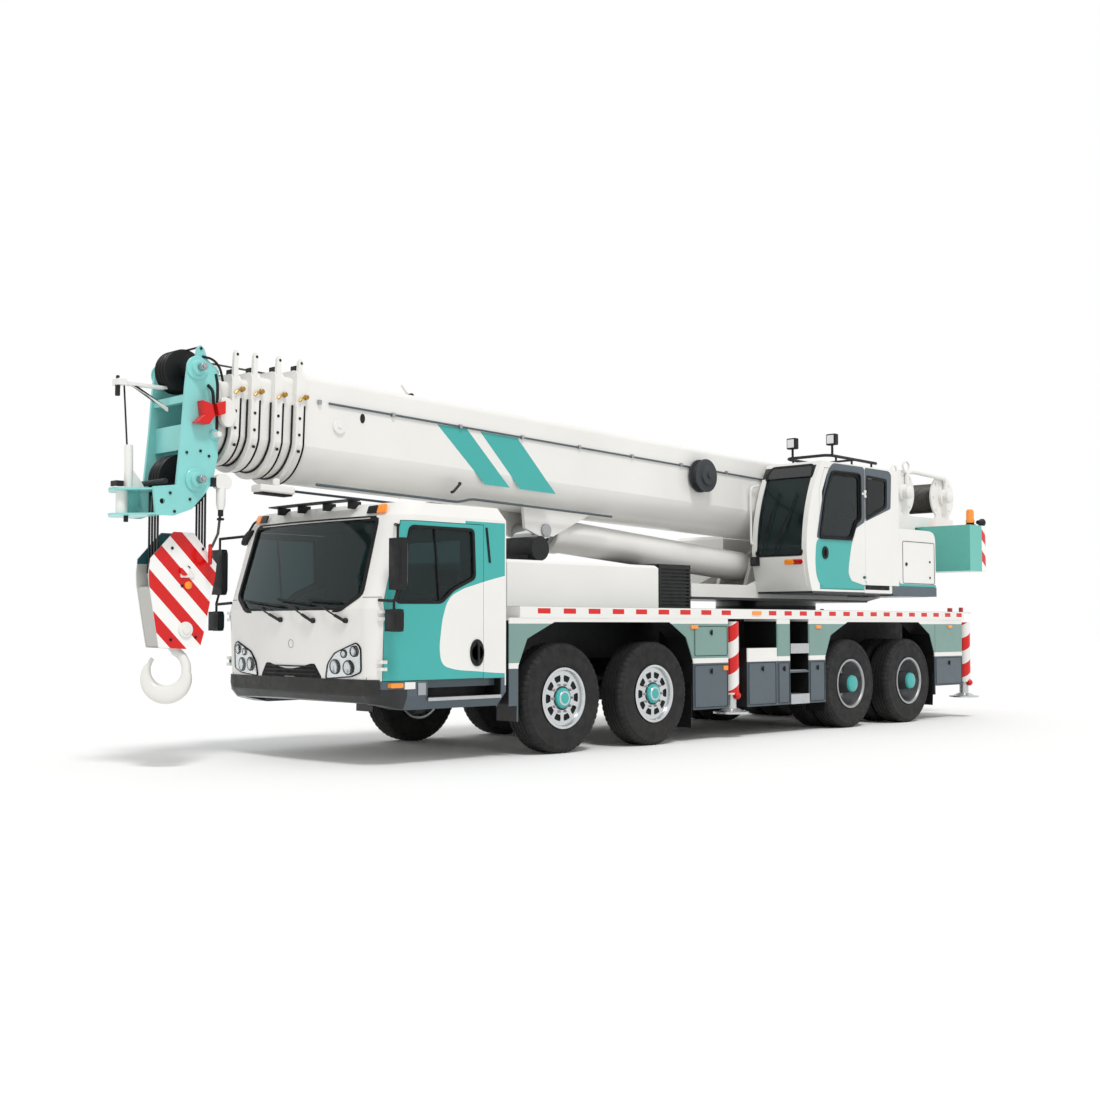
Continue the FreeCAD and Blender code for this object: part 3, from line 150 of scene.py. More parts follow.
@dataclass(frozen=True)
class Finish:
    """A surface as a maker would order it, and what the eye sees of it.

    size values are millimetres: shade_size is how wide the slow colour changes are,
    grain_size how wide one grain of the surface is, and grain_depth its height.
    """

    name: str
    colour: str
    rough: float = 0.4
    metal: float = 0.0
    ior: float = 1.38
    coat: float = 0.0
    shade: float = 0.03
    shade_size: float = 700.0
    grain_size: float = 0.0
    grain_depth: float = 0.0
    sheen: float = 0.0
    clear: float = 0.0
    glow: float = 0.0
    dust: float = 0.0
    slot: str = "white_paint"
    zones: tuple = ()

    def _mask(self, tree: bpy.types.NodeTree, zone: Zone, spot: bpy.types.Node,
              parts: bpy.types.Node) -> bpy.types.Node:
        """Multiply one test for each limit of the zone into a mask of 0 or 1."""
        tests = []
        for axis in range(3):
            for limit, test in ((zone.low, "GREATER_THAN"), (zone.high, "LESS_THAN")):
                if limit[axis] is not None:
                    tests.append(maths(tree, test, parts.outputs[axis], limit[axis]))
        if zone.stripe:
            run = add_node(tree, "ShaderNodeVectorMath", {"operation": "DOT_PRODUCT"},
                           {0: spot, 1: zone.stripe.along})
            turn = maths(tree, "MULTIPLY_ADD", run.outputs["Value"], 1 / zone.stripe.pitch,
                         zone.stripe.offset)
            tests.append(maths(tree, "LESS_THAN", maths(tree, "FRACT", turn),
                               zone.stripe.share))
        if zone.rear_of:
            low, high = zone.rear_of[0][0], zone.rear_of[-1][0]
            start = min(x for _, x in zone.rear_of)
            width = max(x for _, x in zone.rear_of) - start
            height = add_node(tree, "ShaderNodeMapRange", None,
                              {"Value": parts.outputs[2], "From Min": low, "From Max": high})
            line = add_node(tree, "ShaderNodeFloatCurve", None, {"Value": height})
            curve = line.mapping.curves[0]
            spots = [((z - low) / (high - low), (x - start) / width) for z, x in zone.rear_of]
            curve.points[0].location, curve.points[-1].location = spots[0], spots[-1]
            for spot_uv in spots[1:-1]:
                curve.points.new(*spot_uv)
            line.mapping.update()
            limit = maths(tree, "MULTIPLY_ADD", line, width, start)
            tests.append(maths(tree, "LESS_THAN", parts.outputs[0], limit))
        mask = tests[0]
        for test in tests[1:]:
            mask = maths(tree, "MULTIPLY", mask, test)
        return mask

    def material(self) -> bpy.types.Material:
        """Build the material once and hand out the same one afterwards."""
        found = bpy.data.materials.get(self.name)
        if found:
            return found
        made = bpy.data.materials.new(self.name)
        made.use_nodes = True
        tree = made.node_tree
        shader = tree.nodes["Principled BSDF"]
        where = add_node(tree, "ShaderNodeTexCoord")
        spot = add_node(tree, "ShaderNodeMapping", None,
                        {"Vector": where.outputs["Object"], "Location": (-SHIFT, 0.0, 0.0)})
        parts = add_node(tree, "ShaderNodeSeparateXYZ", None, {0: spot})
        base = linear(self.colour)
        slow = add_node(tree, "ShaderNodeTexNoise", None,
                        {"Vector": spot, "Scale": 1000 / self.shade_size, "Detail": 3.0})
        tone = add_node(tree, "ShaderNodeMapRange", None,
                        {"Value": slow.outputs[0], "From Min": 0.3, "From Max": 0.7,
                         "To Min": 1 - self.shade, "To Max": 1 + self.shade})
        colour = None
        for zone in self.zones:
            mask = self._mask(tree, zone, spot, parts)
            mix = add_node(tree, "ShaderNodeMix", {"data_type": "RGBA"}, {0: mask})
            if colour is None:
                mix.inputs[6].default_value = base
            else:
                tree.links.new(colour, mix.inputs[6])
            mix.inputs[7].default_value = linear(zone.colour)
            colour = mix.outputs[2]
        shaded = add_node(tree, "ShaderNodeVectorMath", {"operation": "SCALE"},
                          {0: colour if colour else base[:3], "Scale": tone})
        top = shaded.outputs[0]
        if self.dust:
            cloud = add_node(tree, "ShaderNodeTexNoise", None,
                             {"Vector": spot, "Scale": 6.0, "Detail": 6.0})
            low = add_node(tree, "ShaderNodeMapRange", None,
                           {"Value": parts.outputs[2], "From Min": 1.1, "From Max": 0.2,
                            "To Min": 0.1, "To Max": 1.0})
            much = maths(tree, "MULTIPLY", cloud.outputs[0], low)
            share = maths(tree, "MULTIPLY", much, self.dust)
            mix = add_node(tree, "ShaderNodeMix", {"data_type": "RGBA"},
                           {0: share, 6: top, 7: linear(ROAD_DUST)})
            top = mix.outputs[2]
        tree.links.new(top, shader.inputs["Base Color"])
        for socket, value in (("IOR", self.ior), ("Metallic", self.metal),
                              ("Coat Weight", self.coat), ("Coat Roughness", COAT_ROUGHNESS),
                              ("Sheen Weight", self.sheen),
                              ("Transmission Weight", self.clear)):
            shader.inputs[socket].default_value = value
        scratch = add_node(tree, "ShaderNodeTexNoise", None,
                           {"Vector": spot, "Scale": 14.0, "Detail": 5.0})
        wear = add_node(tree, "ShaderNodeMapRange", None,
                        {"Value": scratch.outputs[0], "From Min": 0.35, "From Max": 0.75,
                         "To Min": self.rough * 0.85, "To Max": min(1.0, self.rough * 1.25)})
        tree.links.new(wear.outputs[0], shader.inputs["Roughness"])
        if self.glow:
            shader.inputs["Emission Color"].default_value = base
            shader.inputs["Emission Strength"].default_value = self.glow
        if self.grain_depth:
            grain = add_node(tree, "ShaderNodeTexNoise", None,
                             {"Vector": spot, "Scale": 1000 / self.grain_size, "Detail": 2.0})
            bump = add_node(tree, "ShaderNodeBump", None,
                            {"Height": grain.outputs[0], "Distance": self.grain_depth / 1000,
                             "Strength": 1.0})
            tree.links.new(bump.outputs[0], shader.inputs["Normal"])
        return made


WHITE, TEAL, SLATE, RED, ORANGE = "E6E5E1", "3DA8A3", "4B5860", "D10606", "F08A1C"
BLACK, DARK, PALE, HEAD_TEAL = "121314", "1B1D1F", "F2F1EE", "86CFCB"

# Two-pack gloss paint, sprayed: a soft mirror under a clear skin, faint orange peel of
# about 6 mm, and slow changes of tone over each panel.
PAINT = dict(rough=0.34, coat=0.3, shade=0.025, grain_size=6.0, grain_depth=0.02)
WHITE_PAINT = Finish("gloss_white_paint", WHITE, **PAINT)
TEAL_PAINT = Finish("gloss_turquoise_paint", TEAL, slot="teal_paint", **PAINT)
HEAD_PAINT = Finish("turquoise_paint_on_steel_plate", HEAD_TEAL, slot="teal_paint", rough=0.38,
                    coat=0.3, shade=0.05, shade_size=250, grain_size=8.0, grain_depth=0.05)
# Satin paint over sheet steel: duller, with the sheet's slight waviness.
SLATE_PAINT = Finish("satin_slate_paint", SLATE, slot="slate_paint", rough=0.42, coat=0.2,
                     shade=0.05, grain_size=10.0, grain_depth=0.04, dust=0.10)
BLACK_PAINT = Finish("satin_black_chassis_paint", "17191B", slot="black_paint", rough=0.5,
                     shade=0.12, shade_size=300, grain_size=5.0, grain_depth=0.06, dust=0.22)
RED_PAINT = Finish("gloss_red_paint", RED, slot="warning_paint", **PAINT)
# Moulded ABS and rubber: a fine pebble of about 1.5 mm, drawn at 3 mm so that it shows.
BLACK_PLASTIC = Finish("moulded_black_plastic", "101112", slot="black_plastic", rough=0.5,
                       shade=0.05, grain_size=3.0, grain_depth=0.08)
GREY_PLASTIC = Finish("moulded_grey_plastic", "3A3D40", slot="black_plastic", rough=0.6,
                      shade=0.05, grain_size=3.0, grain_depth=0.08)
SEAL_RUBBER = Finish("extruded_rubber_seal", "0B0B0C", slot="black_plastic", rough=0.62,
                     shade=0.06, grain_size=4.0, grain_depth=0.05)
# Tyre rubber: matt charcoal, browner where road dust sits, with moulding grain.
TYRE_RUBBER = Finish("vulcanised_tyre_rubber", "19191B", slot="tyre", rough=0.72, shade=0.10,
                     shade_size=120, grain_size=4.0, grain_depth=0.15, dust=0.07)
# Forged aluminium, machine polished: bright with fine turning marks.
ALLOY = Finish("polished_forged_aluminium", "C9CCCE", slot="alloy", rough=0.24, metal=1.0,
               shade=0.04, shade_size=80, grain_size=2.5, grain_depth=0.02)
RIM_STEEL = Finish("galvanised_steel_rim", "A9ABAD", rough=0.42, metal=0.85, shade=0.10,
                   shade_size=40, grain_size=9.0, grain_depth=0.05, dust=0.3)
BARE_STEEL = Finish("machined_steel", "A6A8AA", slot="alloy", rough=0.30, metal=1.0, shade=0.06,
                    shade_size=60)
CHROME = Finish("hard_chrome_rod", "D2D4D6", rough=0.07, metal=1.0, shade=0.01)
BRASS = Finish("brass_fittings", "A8823F", slot="alloy", rough=0.35, metal=1.0, shade=0.08,
               shade_size=40)
ROPE_STEEL = Finish("stranded_wire_rope", "55534F", slot="cast_black", rough=0.55, metal=0.7,
                    shade=0.25, shade_size=12, grain_size=7.0, grain_depth=1.2)
CAST_BLACK = Finish("cast_nylon_sheaves", "131415", slot="cast_black", rough=0.45, shade=0.08,
                    shade_size=80, grain_size=5.0, grain_depth=0.05)
TREAD_PLATE = Finish("ribbed_aluminium_tread", "B9BCBE", slot="alloy", rough=0.35, metal=0.9,
                     shade=0.06, shade_size=50)
# Laminated window glass: a grey-green tint that lets the cab's inside show.
GLASS = Finish("tinted_window_glass", "5C7476", slot="glass", rough=0.0, clear=0.95, shade=0.0,
               ior=1.28)
LENS = Finish("clear_lamp_lens", "FAFCFD", slot="glass", rough=0.0, clear=1.0, shade=0.0)
REFLECTOR = Finish("vapour_plated_reflector", "DADCDD", slot="chrome", rough=0.12, metal=1.0,
                   shade=0.02)
AMBER = Finish("amber_lamp_lens", ORANGE, slot="warning_paint", rough=0.15, coat=0.8, glow=0.12,
               shade=0.02)
RED_LENS = Finish("red_lamp_lens", "B3120F", slot="warning_paint", rough=0.15, coat=0.8, glow=0.05,
                  shade=0.02)
MIRROR = Finish("mirror_glass", "DDE1E3", slot="chrome", rough=0.02, metal=1.0, shade=0.0)
# Woven seat cloth: 2 mm threads, drawn at 4 mm.
SEAT_CLOTH = Finish("woven_seat_cloth", "24262A", slot="seat_fabric", rough=0.9, sheen=0.4,
                    shade=0.1, shade_size=30, grain_size=4.0, grain_depth=0.4)
# Matt black; also painted shade, as the discs behind the wheel spokes and the gaps behind the boom
# collars.
BLACK_TOP = Finish("matt_black_recess", "0A0B0C", slot="black_plastic", rough=0.7, shade=0.05)


@dataclass
class Shell:
    """A surface as points and faces, before it becomes a mesh."""

    points: np.ndarray
    faces: list

    def moved(self, x: float = 0.0, y: float = 0.0, z: float = 0.0) -> "Shell":
        """The same surface, shifted."""
        return Shell(self.points + np.array([x, y, z]), self.faces)

    def turned(self, axis: Axis, angle: float, centre: tuple = (0, 0, 0)) -> "Shell":
        """The same surface, turned by an angle in radians about an axis through centre."""
        matrix = np.array(Matrix.Rotation(angle, 3, axis.name))
        middle = np.array(centre, float)
        return Shell((self.points - middle) @ matrix.T + middle, self.faces)

    def mirrored(self) -> "Shell":
        """The same surface on the vehicle's other side."""
        return Shell(self.points * np.array([1, -1, 1]), [face[::-1] for face in self.faces])

    @staticmethod
    def joined(shells: list["Shell"]) -> "Shell":
        """Several surfaces as one list of points and faces."""
        starts = np.cumsum([0] + [len(shell.points) for shell in shells])
        faces = [[int(start) + corner for corner in face]
                 for start, shell in zip(starts, shells) for face in shell.faces]
        return Shell(np.vstack([shell.points for shell in shells]), faces)


def both(shells: list[Shell]) -> list[Shell]:
    """The surfaces of one side, and the same on the other side."""
    return shells + [shell.mirrored() for shell in shells]


def grid(points: np.ndarray, wrap_u: bool = False, wrap_v: bool = False,
         cap: bool = False) -> Shell:
    """Join a grid of points into quads: each point with the next in u and in v.

    Args:
        points: an array of shape (u, v, 3).
        wrap_u: join the last row to the first.
        wrap_v: join the last column to the first.
        cap: close the first and the last row with one face each.

    Returns:
        The surface.
    """
    rows, columns = points.shape[:2]
    index = np.arange(rows * columns).reshape(rows, columns)
    ends = [index[0][::-1].tolist(), index[-1].tolist()]
    if wrap_u:
        index = np.vstack([index, index[:1]])
    if wrap_v:
        index = np.hstack([index, index[:, :1]])
    quads = np.stack([index[:-1, :-1], index[:-1, 1:], index[1:, 1:], index[1:, :-1]], axis=-1)
    faces = quads.reshape(-1, 4).tolist()
    return Shell(points.reshape(-1, 3), faces + ends if cap else faces)


def revolve(profile: list, centre: tuple, axis: Axis = Axis.Y, steps: int = 32,
            loop: bool = False) -> Shell:
    """Turn a profile about an axis: each (radius, along) becomes a ring of points.

    Args:
        profile: (radius, along) pairs; they start and end on the axis, or form a loop.
        centre: a point on the axis.
        axis: the axis of turning.
        steps: points round the ring.
        loop: the profile is closed in itself.

    Returns:
        The surface.
    """
    shape = np.array(profile, float)
    turn = np.linspace(0, 2 * math.pi, steps, endpoint=False)
    across = shape[:, :1] * np.cos(turn)
    upward = shape[:, :1] * np.sin(turn)
    along = np.repeat(shape[:, 1:], steps, axis=1)
    order = {Axis.X: (along, across, upward), Axis.Y: (across, along, upward),
             Axis.Z: (across, upward, along)}[axis]
    return grid(np.stack(order, axis=-1) + np.array(centre, float), wrap_u=loop, wrap_v=True)


def drum(radius: float, low: float, high: float, centre: tuple, axis: Axis = Axis.Y,
         edge: float = 0.004, steps: int = 28) -> Shell:
    """A round disc or bar with its two edges broken by a small chamfer."""
    edge = min(edge, (high - low) / 2.5)
    return revolve([(0, low), (radius - edge, low), (radius, low + edge), (radius, high - edge),
                    (radius - edge, high), (0, high)], centre, axis, steps)


def ring(outer: float, inner: float, low: float, high: float, centre: tuple,
         axis: Axis = Axis.Y, steps: int = 32) -> Shell:
    """A flat ring with square edges."""
    return revolve([(inner, low), (outer, low), (outer, high), (inner, high)], centre, axis,
                   steps, loop=True)


def rounded(corners: list, radius: float, steps: int = 5, closed: bool = False) -> np.ndarray:
    """Round the corners of a line: a quadratic curve from a point before to one after each.

    Args:
        corners: points of two or three numbers.
        radius: how far from the corner the curve begins, at most 0.45 of the run.
        steps: points in each curve.
        closed: the line comes back to its start.

    Returns:
        The points of the smoothed line.
    """
    spots = np.array(corners, float)
    before, after = np.roll(spots, 1, axis=0), np.roll(spots, -1, axis=0)

    def toward(other: np.ndarray) -> np.ndarray:
        """A point on the way to a neighbour."""
        run = other - spots
        length = np.linalg.norm(run, axis=1, keepdims=True)
        return spots + run * np.minimum(radius / np.maximum(length, 1e-9), 0.45)

    share = np.linspace(0, 1, steps)[None, :, None]
    start, end = toward(before)[:, None], toward(after)[:, None]
    curve = (1 - share) ** 2 * start + 2 * share * (1 - share) * spots[:, None] \
        + share ** 2 * end
    if closed:
        return curve.reshape(-1, spots.shape[1])
    inner = curve[1:-1].reshape(-1, spots.shape[1])
    return np.vstack([spots[:1], inner, spots[-1:]])


def closed_line(corners: list, radius: float, steps: int = 5) -> np.ndarray:
    """A closed line with rounded corners."""
    return rounded(corners, radius, steps, closed=True)


def circle(radius: float, steps: int = 10) -> np.ndarray:
    """Points round a circle, as a section for a bar."""
    turn = np.linspace(0, 2 * math.pi, steps, endpoint=False)
    return np.stack([radius * np.cos(turn), radius * np.sin(turn)], axis=-1)


def sweep(path: np.ndarray, section: np.ndarray, up: tuple = (0, 0, 1),
          closed: bool = False) -> Shell:
    """Carry a flat section along a path.

    At each point the section stands across the path's direction t: its first coordinate
    runs along up x t and its second along t x (up x t).

    Args:
        path: points of three numbers.
        section: points of two numbers.
        up: a direction that the path never follows.
        closed: the path comes back to its start.

    Returns:
        The closed surface.
    """
    if closed:
        run = np.roll(path, -1, axis=0) - np.roll(path, 1, axis=0)
    else:
        run = np.gradient(path, axis=0)
    run = run / np.linalg.norm(run, axis=1, keepdims=True)
    side = np.cross(np.array(up, float), run)
    side = side / np.linalg.norm(side, axis=1, keepdims=True)
    lift = np.cross(run, side)
    points = path[:, None] + section[None, :, :1] * side[:, None] \
        + section[None, :, 1:] * lift[:, None]
    return grid(points, wrap_u=closed, wrap_v=True, cap=not closed)


def pipe(corners: list, radius: float, bend: float = 0.05, up: tuple = (0, 0, 1),
         steps: int = 10, closed: bool = False) -> Shell:
    """A round bar along a line with rounded corners."""
    return sweep(rounded(corners, bend, closed=closed), circle(radius, steps), up, closed)


def plate(outline: list, low: float, high: float, axis: Axis = Axis.Y) -> Shell:
    """A flat plate: an outline at two places along an axis, joined by side faces.

    Args:
        outline: (x, z) pairs for Axis.Y, (x, y) for Axis.Z and (y, z) for Axis.X.
        low: the first place along the axis.
        high: the second.
        axis: the direction through the plate.

    Returns:
        The closed surface.
    """
    flat = np.array(outline, float)
    levels = []
    for place in (low, high):
        depth = np.full(len(flat), place)
        order = {Axis.X: (depth, flat[:, 0], flat[:, 1]), Axis.Y: (flat[:, 0], depth, flat[:, 1]),
                 Axis.Z: (flat[:, 0], flat[:, 1], depth)}[axis]
        levels.append(np.stack(order, axis=-1))
    return grid(np.stack(levels), wrap_v=True, cap=True)


def block(low: tuple, high: tuple) -> Shell:
    """A block between two corners."""
    outline = [(low[0], low[1]), (high[0], low[1]), (high[0], high[1]), (low[0], high[1])]
    return plate(outline, low[2], high[2], Axis.Z)


def frame_plate(outer: list, inner: list, low: float, high: float,
                count: int = 120) -> Shell:
    """A flat (x, z) plate with a hole, between two places along y.

    Both outlines are read at the same angles round the hole's middle, and the four rings
    outer-low, outer-high, inner-high and inner-low are joined.
    """
    middle = np.array(inner, float).mean(axis=0)
    turn = np.linspace(-math.pi, math.pi, count, endpoint=False)

    def read(outline: list) -> np.ndarray:
        """The outline's points at the chosen angles."""
        spots = np.array(list(outline) + [outline[0]], float)
        run = np.concatenate([[0], np.cumsum(np.hypot(*np.diff(spots, axis=0).T))])
        dense = np.linspace(0, run[-1], 3000, endpoint=False)
        x, z = np.interp(dense, run, spots[:, 0]), np.interp(dense, run, spots[:, 1])
        angle = np.arctan2(z - middle[1], x - middle[0])
        order = np.argsort(angle)
        return np.stack([np.interp(turn, angle[order], x[order], period=2 * math.pi),
                         np.interp(turn, angle[order], z[order], period=2 * math.pi)],
                        axis=-1)

    out, hole = read(outer), read(inner)
    rows = [np.stack([flat[:, 0], np.full(count, place), flat[:, 1]], axis=-1)
            for flat, place in ((out, low), (out, high), (hole, high), (hole, low))]
    return grid(np.stack(rows), wrap_u=True, wrap_v=True)


def oval(x: float, z: float, wide: float, tall: float, steps: int = 28) -> list:
    """The outline of an upright oval."""
    turn = np.linspace(0, 2 * math.pi, steps, endpoint=False)
    return list(zip(x + wide / 2 * np.cos(turn), z + tall / 2 * np.sin(turn)))


def make_piece(name: str, shells: list[Shell], finish: Finish, body: str, bevel: float = 0.0,
               replaces: tuple = (), slot: str = "", smooth: float = 35.0,
               subdivide: int = 0) -> bpy.types.Object:
    """Turn surfaces into one piece of the crane that moves with a body.

    Args:
        name: the piece's name.
        shells: its surfaces, in vehicle coordinates.
        finish: what it is made of.
        body: the body it rides on.
        bevel: width of the rounding put on sharp edges.
        replaces: CAD nodes that it stands for.
        slot: the record's material slot, where it isn't the finish's own; it is not used.
        smooth: edges sharper than this many degrees stay sharp.
        subdivide: levels of subdivision.

    Returns:
        The object.
    """
    slot = slot or finish.slot
    shell = Shell.joined(shells)
    mesh = bpy.data.meshes.new(name)
    mesh.from_pydata((shell.points + np.array([SHIFT, 0, 0])).tolist(), [], shell.faces)
    work = bmesh.new()
    work.from_mesh(mesh)
    bmesh.ops.remove_doubles(work, verts=work.verts, dist=WELD_DISTANCE)
    bmesh.ops.recalc_face_normals(work, faces=work.faces)
    work.to_mesh(mesh)
    work.free()
    mesh.shade_smooth()
    mesh.set_sharp_from_angle(angle=math.radians(smooth))
    mesh.materials.append(finish.material())
    piece = bpy.data.objects.new(name, mesh)
    bpy.context.scene.collection.objects.link(piece)
    if bevel:
        rounding = piece.modifiers.new("rounding", "BEVEL")
        rounding.width, rounding.segments = bevel, 2
        rounding.limit_method, rounding.angle_limit = "ANGLE", math.radians(40)
        rounding.harden_normals = True
    if subdivide:
        soften = piece.modifiers.new("soften", "SUBSURF")
        soften.levels = soften.render_levels = subdivide
    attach(piece, body)
    if replaces:
        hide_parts(*replaces)
    log.info("%s: %d faces on %s", name, len(mesh.polygons), body)
    return piece


def dress(node: str, finish: Finish) -> None:
    """Give a CAD node its finish."""
    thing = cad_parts[node]
    for place in thing.material_slots:
        place.material = finish.material()


def along_boom(shell: Shell) -> Shell:
    """Bring a surface from the boom's own line to its place on the crane."""
    return shell.turned(Axis.Y, -SLOPE).moved(*PIVOT)


SIDES = (("left", 1), ("right", -1))


class Maker:
    """A part of the picture, whose pieces ride on its body unless another is named."""

    body = "carrier"

    def add(self, name: str, shells: list[Shell], finish: Finish, body: str = "",
            **looks: object) -> bpy.types.Object:
        """Make one piece; looks are make_piece's other arguments."""
        return make_piece(name, shells, finish, body or self.body, **looks)


@dataclass
class Wheels(Maker):
    """Tyres, hub caps and nuts of the eight wheels."""

    axles: tuple = (0.0, -1.355, -5.045, -6.395)
    radius: float = 0.54
    half: float = 0.15
    outer: float = 1.10
    twin: float = 0.34
    lugs: int = 54
    groove: float = 0.019
    ribs: tuple = (-0.066, -0.022, 0.022, 0.066)
    # Columns: radius and distance from the tyre's middle, from bead to shoulder
    wall: tuple = ((0.291, 0.126), (0.304, 0.133), (0.312, 0.141), (0.330, 0.144),
                   (0.336, 0.148), (0.356, 0.149), (0.400, 0.150), (0.440, 0.149),
                   (0.470, 0.147), (0.480, 0.150), (0.492, 0.149), (0.498, 0.145))
    shoulder: tuple = ((0.508, 0.139), (0.520, 0.133), (0.530, 0.125), (0.536, 0.116))

    def tyre(self, x: float, y: float) -> Shell:
        """One tyre: a turned profile whose tread ribs wander and whose shoulders are notched.

        At turn a the grooves' middle lines move by a small triangle wave of lugs waves, and
        the shoulder rows drop by a notch's depth over part of each wave.
        """
        steps = self.lugs * 4
        turn = np.linspace(0, 2 * math.pi, steps, endpoint=False)
        wave = np.abs((turn * self.lugs / (2 * math.pi)) % 1.0 - 0.5) * 4 - 1
        notch = ((np.arange(steps) % 4) < 1).astype(float)
        # Columns of a row: radius, place across, groove depth, wander and notch shares
        bead = [(radius, side, 0.0, 0.0, 0.0) for radius, side in self.wall]
        bead += [(radius, side, 0.0, 0.0, 1.0) for radius, side in self.shoulder]
        edge = (self.radius, 0.108, 0.0, 0.0, 1.0)
        tread = [(self.radius, middle + side, drop, 1.0, 0.0) for middle in self.ribs
                 for side, drop in ((-0.0055, 0.0), (-0.0045, self.groove),
                                    (0.0045, self.groove), (0.0055, 0.0))]
        rows = np.array([*bead, edge, *tread, *(bead + [edge])[::-1]])
        rows[:len(bead) + 1, 1] *= -1
        radius, side, drop, move, cut = rows.T[:, :, None]
        reach = radius - drop - cut * notch * 0.010
        across = side + move * wave * 0.004
        points = np.stack([x + reach * np.cos(turn), y + across,
                           self.radius + reach * np.sin(turn)], axis=-1)
        return grid(points, wrap_u=True, wrap_v=True)

    def nuts(self, x: float, y: float, circle_radius: float, count: int, size: float,
             height: float) -> list[Shell]:
        """A ring of hexagon nuts whose faces look outwards."""
        made = []
        hexagon = [(size * math.cos(k * math.pi / 3), size * math.sin(k * math.pi / 3))
                   for k in range(6)]
        for index in range(count):
            turn = 2 * math.pi * index / count
            dx, dz = circle_radius * math.cos(turn), circle_radius * math.sin(turn)
            outline = [(x + dx + a, self.radius + dz + b) for a, b in hexagon]
            made.append(plate(outline, y, y + height))
            made.append(drum(size * 0.5, y + height * 0.9, y + height * 1.5,
                             (x + dx, 0, self.radius + dz), steps=10, edge=0.002))
        return made

    def build(self) -> None:
        """Make all tyres, caps and nuts."""
        for number, x in enumerate(self.axles, 1):
            steered = number < 3
            for side, sign in SIDES:
                tag = f"{number}_{side}"
                body = f"wheel_{tag}"
                tyres = [self.tyre(x, self.outer)]
                if not steered:
                    tyres.append(self.tyre(x, self.outer - self.twin))
                z = self.radius
                if steered:
                    cap = [revolve([(0, 1.200), (0.101, 1.200), (0.101, 1.236), (0.097, 1.246),
                                    (0.080, 1.257), (0.050, 1.263), (0, 1.265)], (x, 0, z))]
                    hub = [ring(0.118, 0.100, 1.205, 1.226, (x, 0, z))]
                    nuts = self.nuts(x, 1.220, 0.135, 10, 0.014, 0.018)
                else:
                    cap = [revolve([(0, 1.255), (0.103, 1.255), (0.103, 1.272),
                                    (0.095, 1.286), (0.070, 1.294), (0, 1.2955)], (x, 0, z))]
                    hub = [revolve([(0, 1.0), (0.126, 1.0), (0.124, 1.10), (0.110, 1.20),
                                    (0.106, 1.257), (0, 1.2575)], (x, 0, z))]
                    nuts = self.nuts(x, 0.955, 0.166, 10, 0.016, 0.024)
                    nuts += self.nuts(x, 1.286, 0.088, 8, 0.007, 0.006)
                bright, dark = self.spokes(x, steered)
                shells = {"tread": tyres, "cap": cap, "nuts": nuts, "spokes": bright,
                          "opening_shade": dark, "hub": hub}
                if sign < 0:
                    shells = {key: [s.mirrored() for s in row] for key, row in shells.items()}
                self.add(f"tyre_tread_{tag}", shells["tread"], TYRE_RUBBER, body,
                         replaces=(f"tyre_{tag}",), smooth=28)
                self.add(f"hub_cap_{tag}", shells["cap"], TEAL_PAINT, body)
                self.add(f"wheel_nuts_{tag}", shells["nuts"], BARE_STEEL, body)
                self.add(f"wheel_hub_{tag}", shells["hub"], GREY_PLASTIC, body, slot="cast_black")
                self.add(f"wheel_spokes_{tag}", shells["spokes"], ALLOY, body)
                self.add(f"wheel_openings_{tag}", shells["opening_shade"], BLACK_TOP, body,
                         slot="cast_black")
                dress(f"rim_{tag}", ALLOY if steered else RIM_STEEL)
                if steered:
                    dress(f"knuckle_{tag}", BLACK_PAINT)
        dress("axles", BLACK_PAINT)

    def spokes(self, x: float, steered: bool) -> tuple[list[Shell], list[Shell]]:
        """Polished spokes, and a black disc behind them that is painted shade in the holes between
        them, on the left wheel.

        Returns:
            The bright shells and the dark painted-shade ones.
        """
        low, z = (1.2085, self.radius) if steered else (0.9475, self.radius)
        inner, outer = (0.150, 0.232) if steered else (0.175, 0.232)
        bright = [ring(inner + 0.014, 0.112, low, low + 0.014, (x, 0, z), steps=60),
                  ring(0.268, outer - 0.006, low - 0.012, low + 0.012, (x, 0, z), steps=60)]
        # Painted shade: a black disc behind the spokes for the shade seen through the holes.
        dark = [ring(0.250, 0.118, low - 0.004, low + 0.001, (x, 0, z), steps=60)]
        for index in range(10):
            turn = 2 * math.pi * (index + 0.5) / 10
            out, side = (math.cos(turn), math.sin(turn)), (-math.sin(turn), math.cos(turn))
            outline = [(x + out[0] * r + side[0] * w, z + out[1] * r + side[1] * w)
                       for r, w in ((inner, 0.026), (0.20, 0.020), (outer + 0.01, 0.034),
                                    (outer + 0.01, -0.034), (0.20, -0.020), (inner, -0.026))]
            bright.append(plate(outline, low, low + 0.013))
        return bright, dark


def arc_through(a: tuple, b: tuple, c: tuple, count: int) -> np.ndarray:
    """Points on the circle through three points, from the first to the last."""
    rows = np.array([[b[0] - a[0], b[1] - a[1]], [c[0] - b[0], c[1] - b[1]]])
    sums = np.array([b[0] ** 2 - a[0] ** 2 + b[1] ** 2 - a[1] ** 2,
                     c[0] ** 2 - b[0] ** 2 + c[1] ** 2 - b[1] ** 2]) / 2
    middle = np.linalg.solve(rows, sums)
    radius = math.hypot(a[0] - middle[0], a[1] - middle[1])
    start = math.atan2(a[1] - middle[1], a[0] - middle[0])
    end = math.atan2(c[1] - middle[1], c[0] - middle[0])
    turn = np.linspace(start, end, count)
    return np.stack([middle[0] + radius * np.cos(turn), middle[1] + radius * np.sin(turn)],
                    axis=-1)


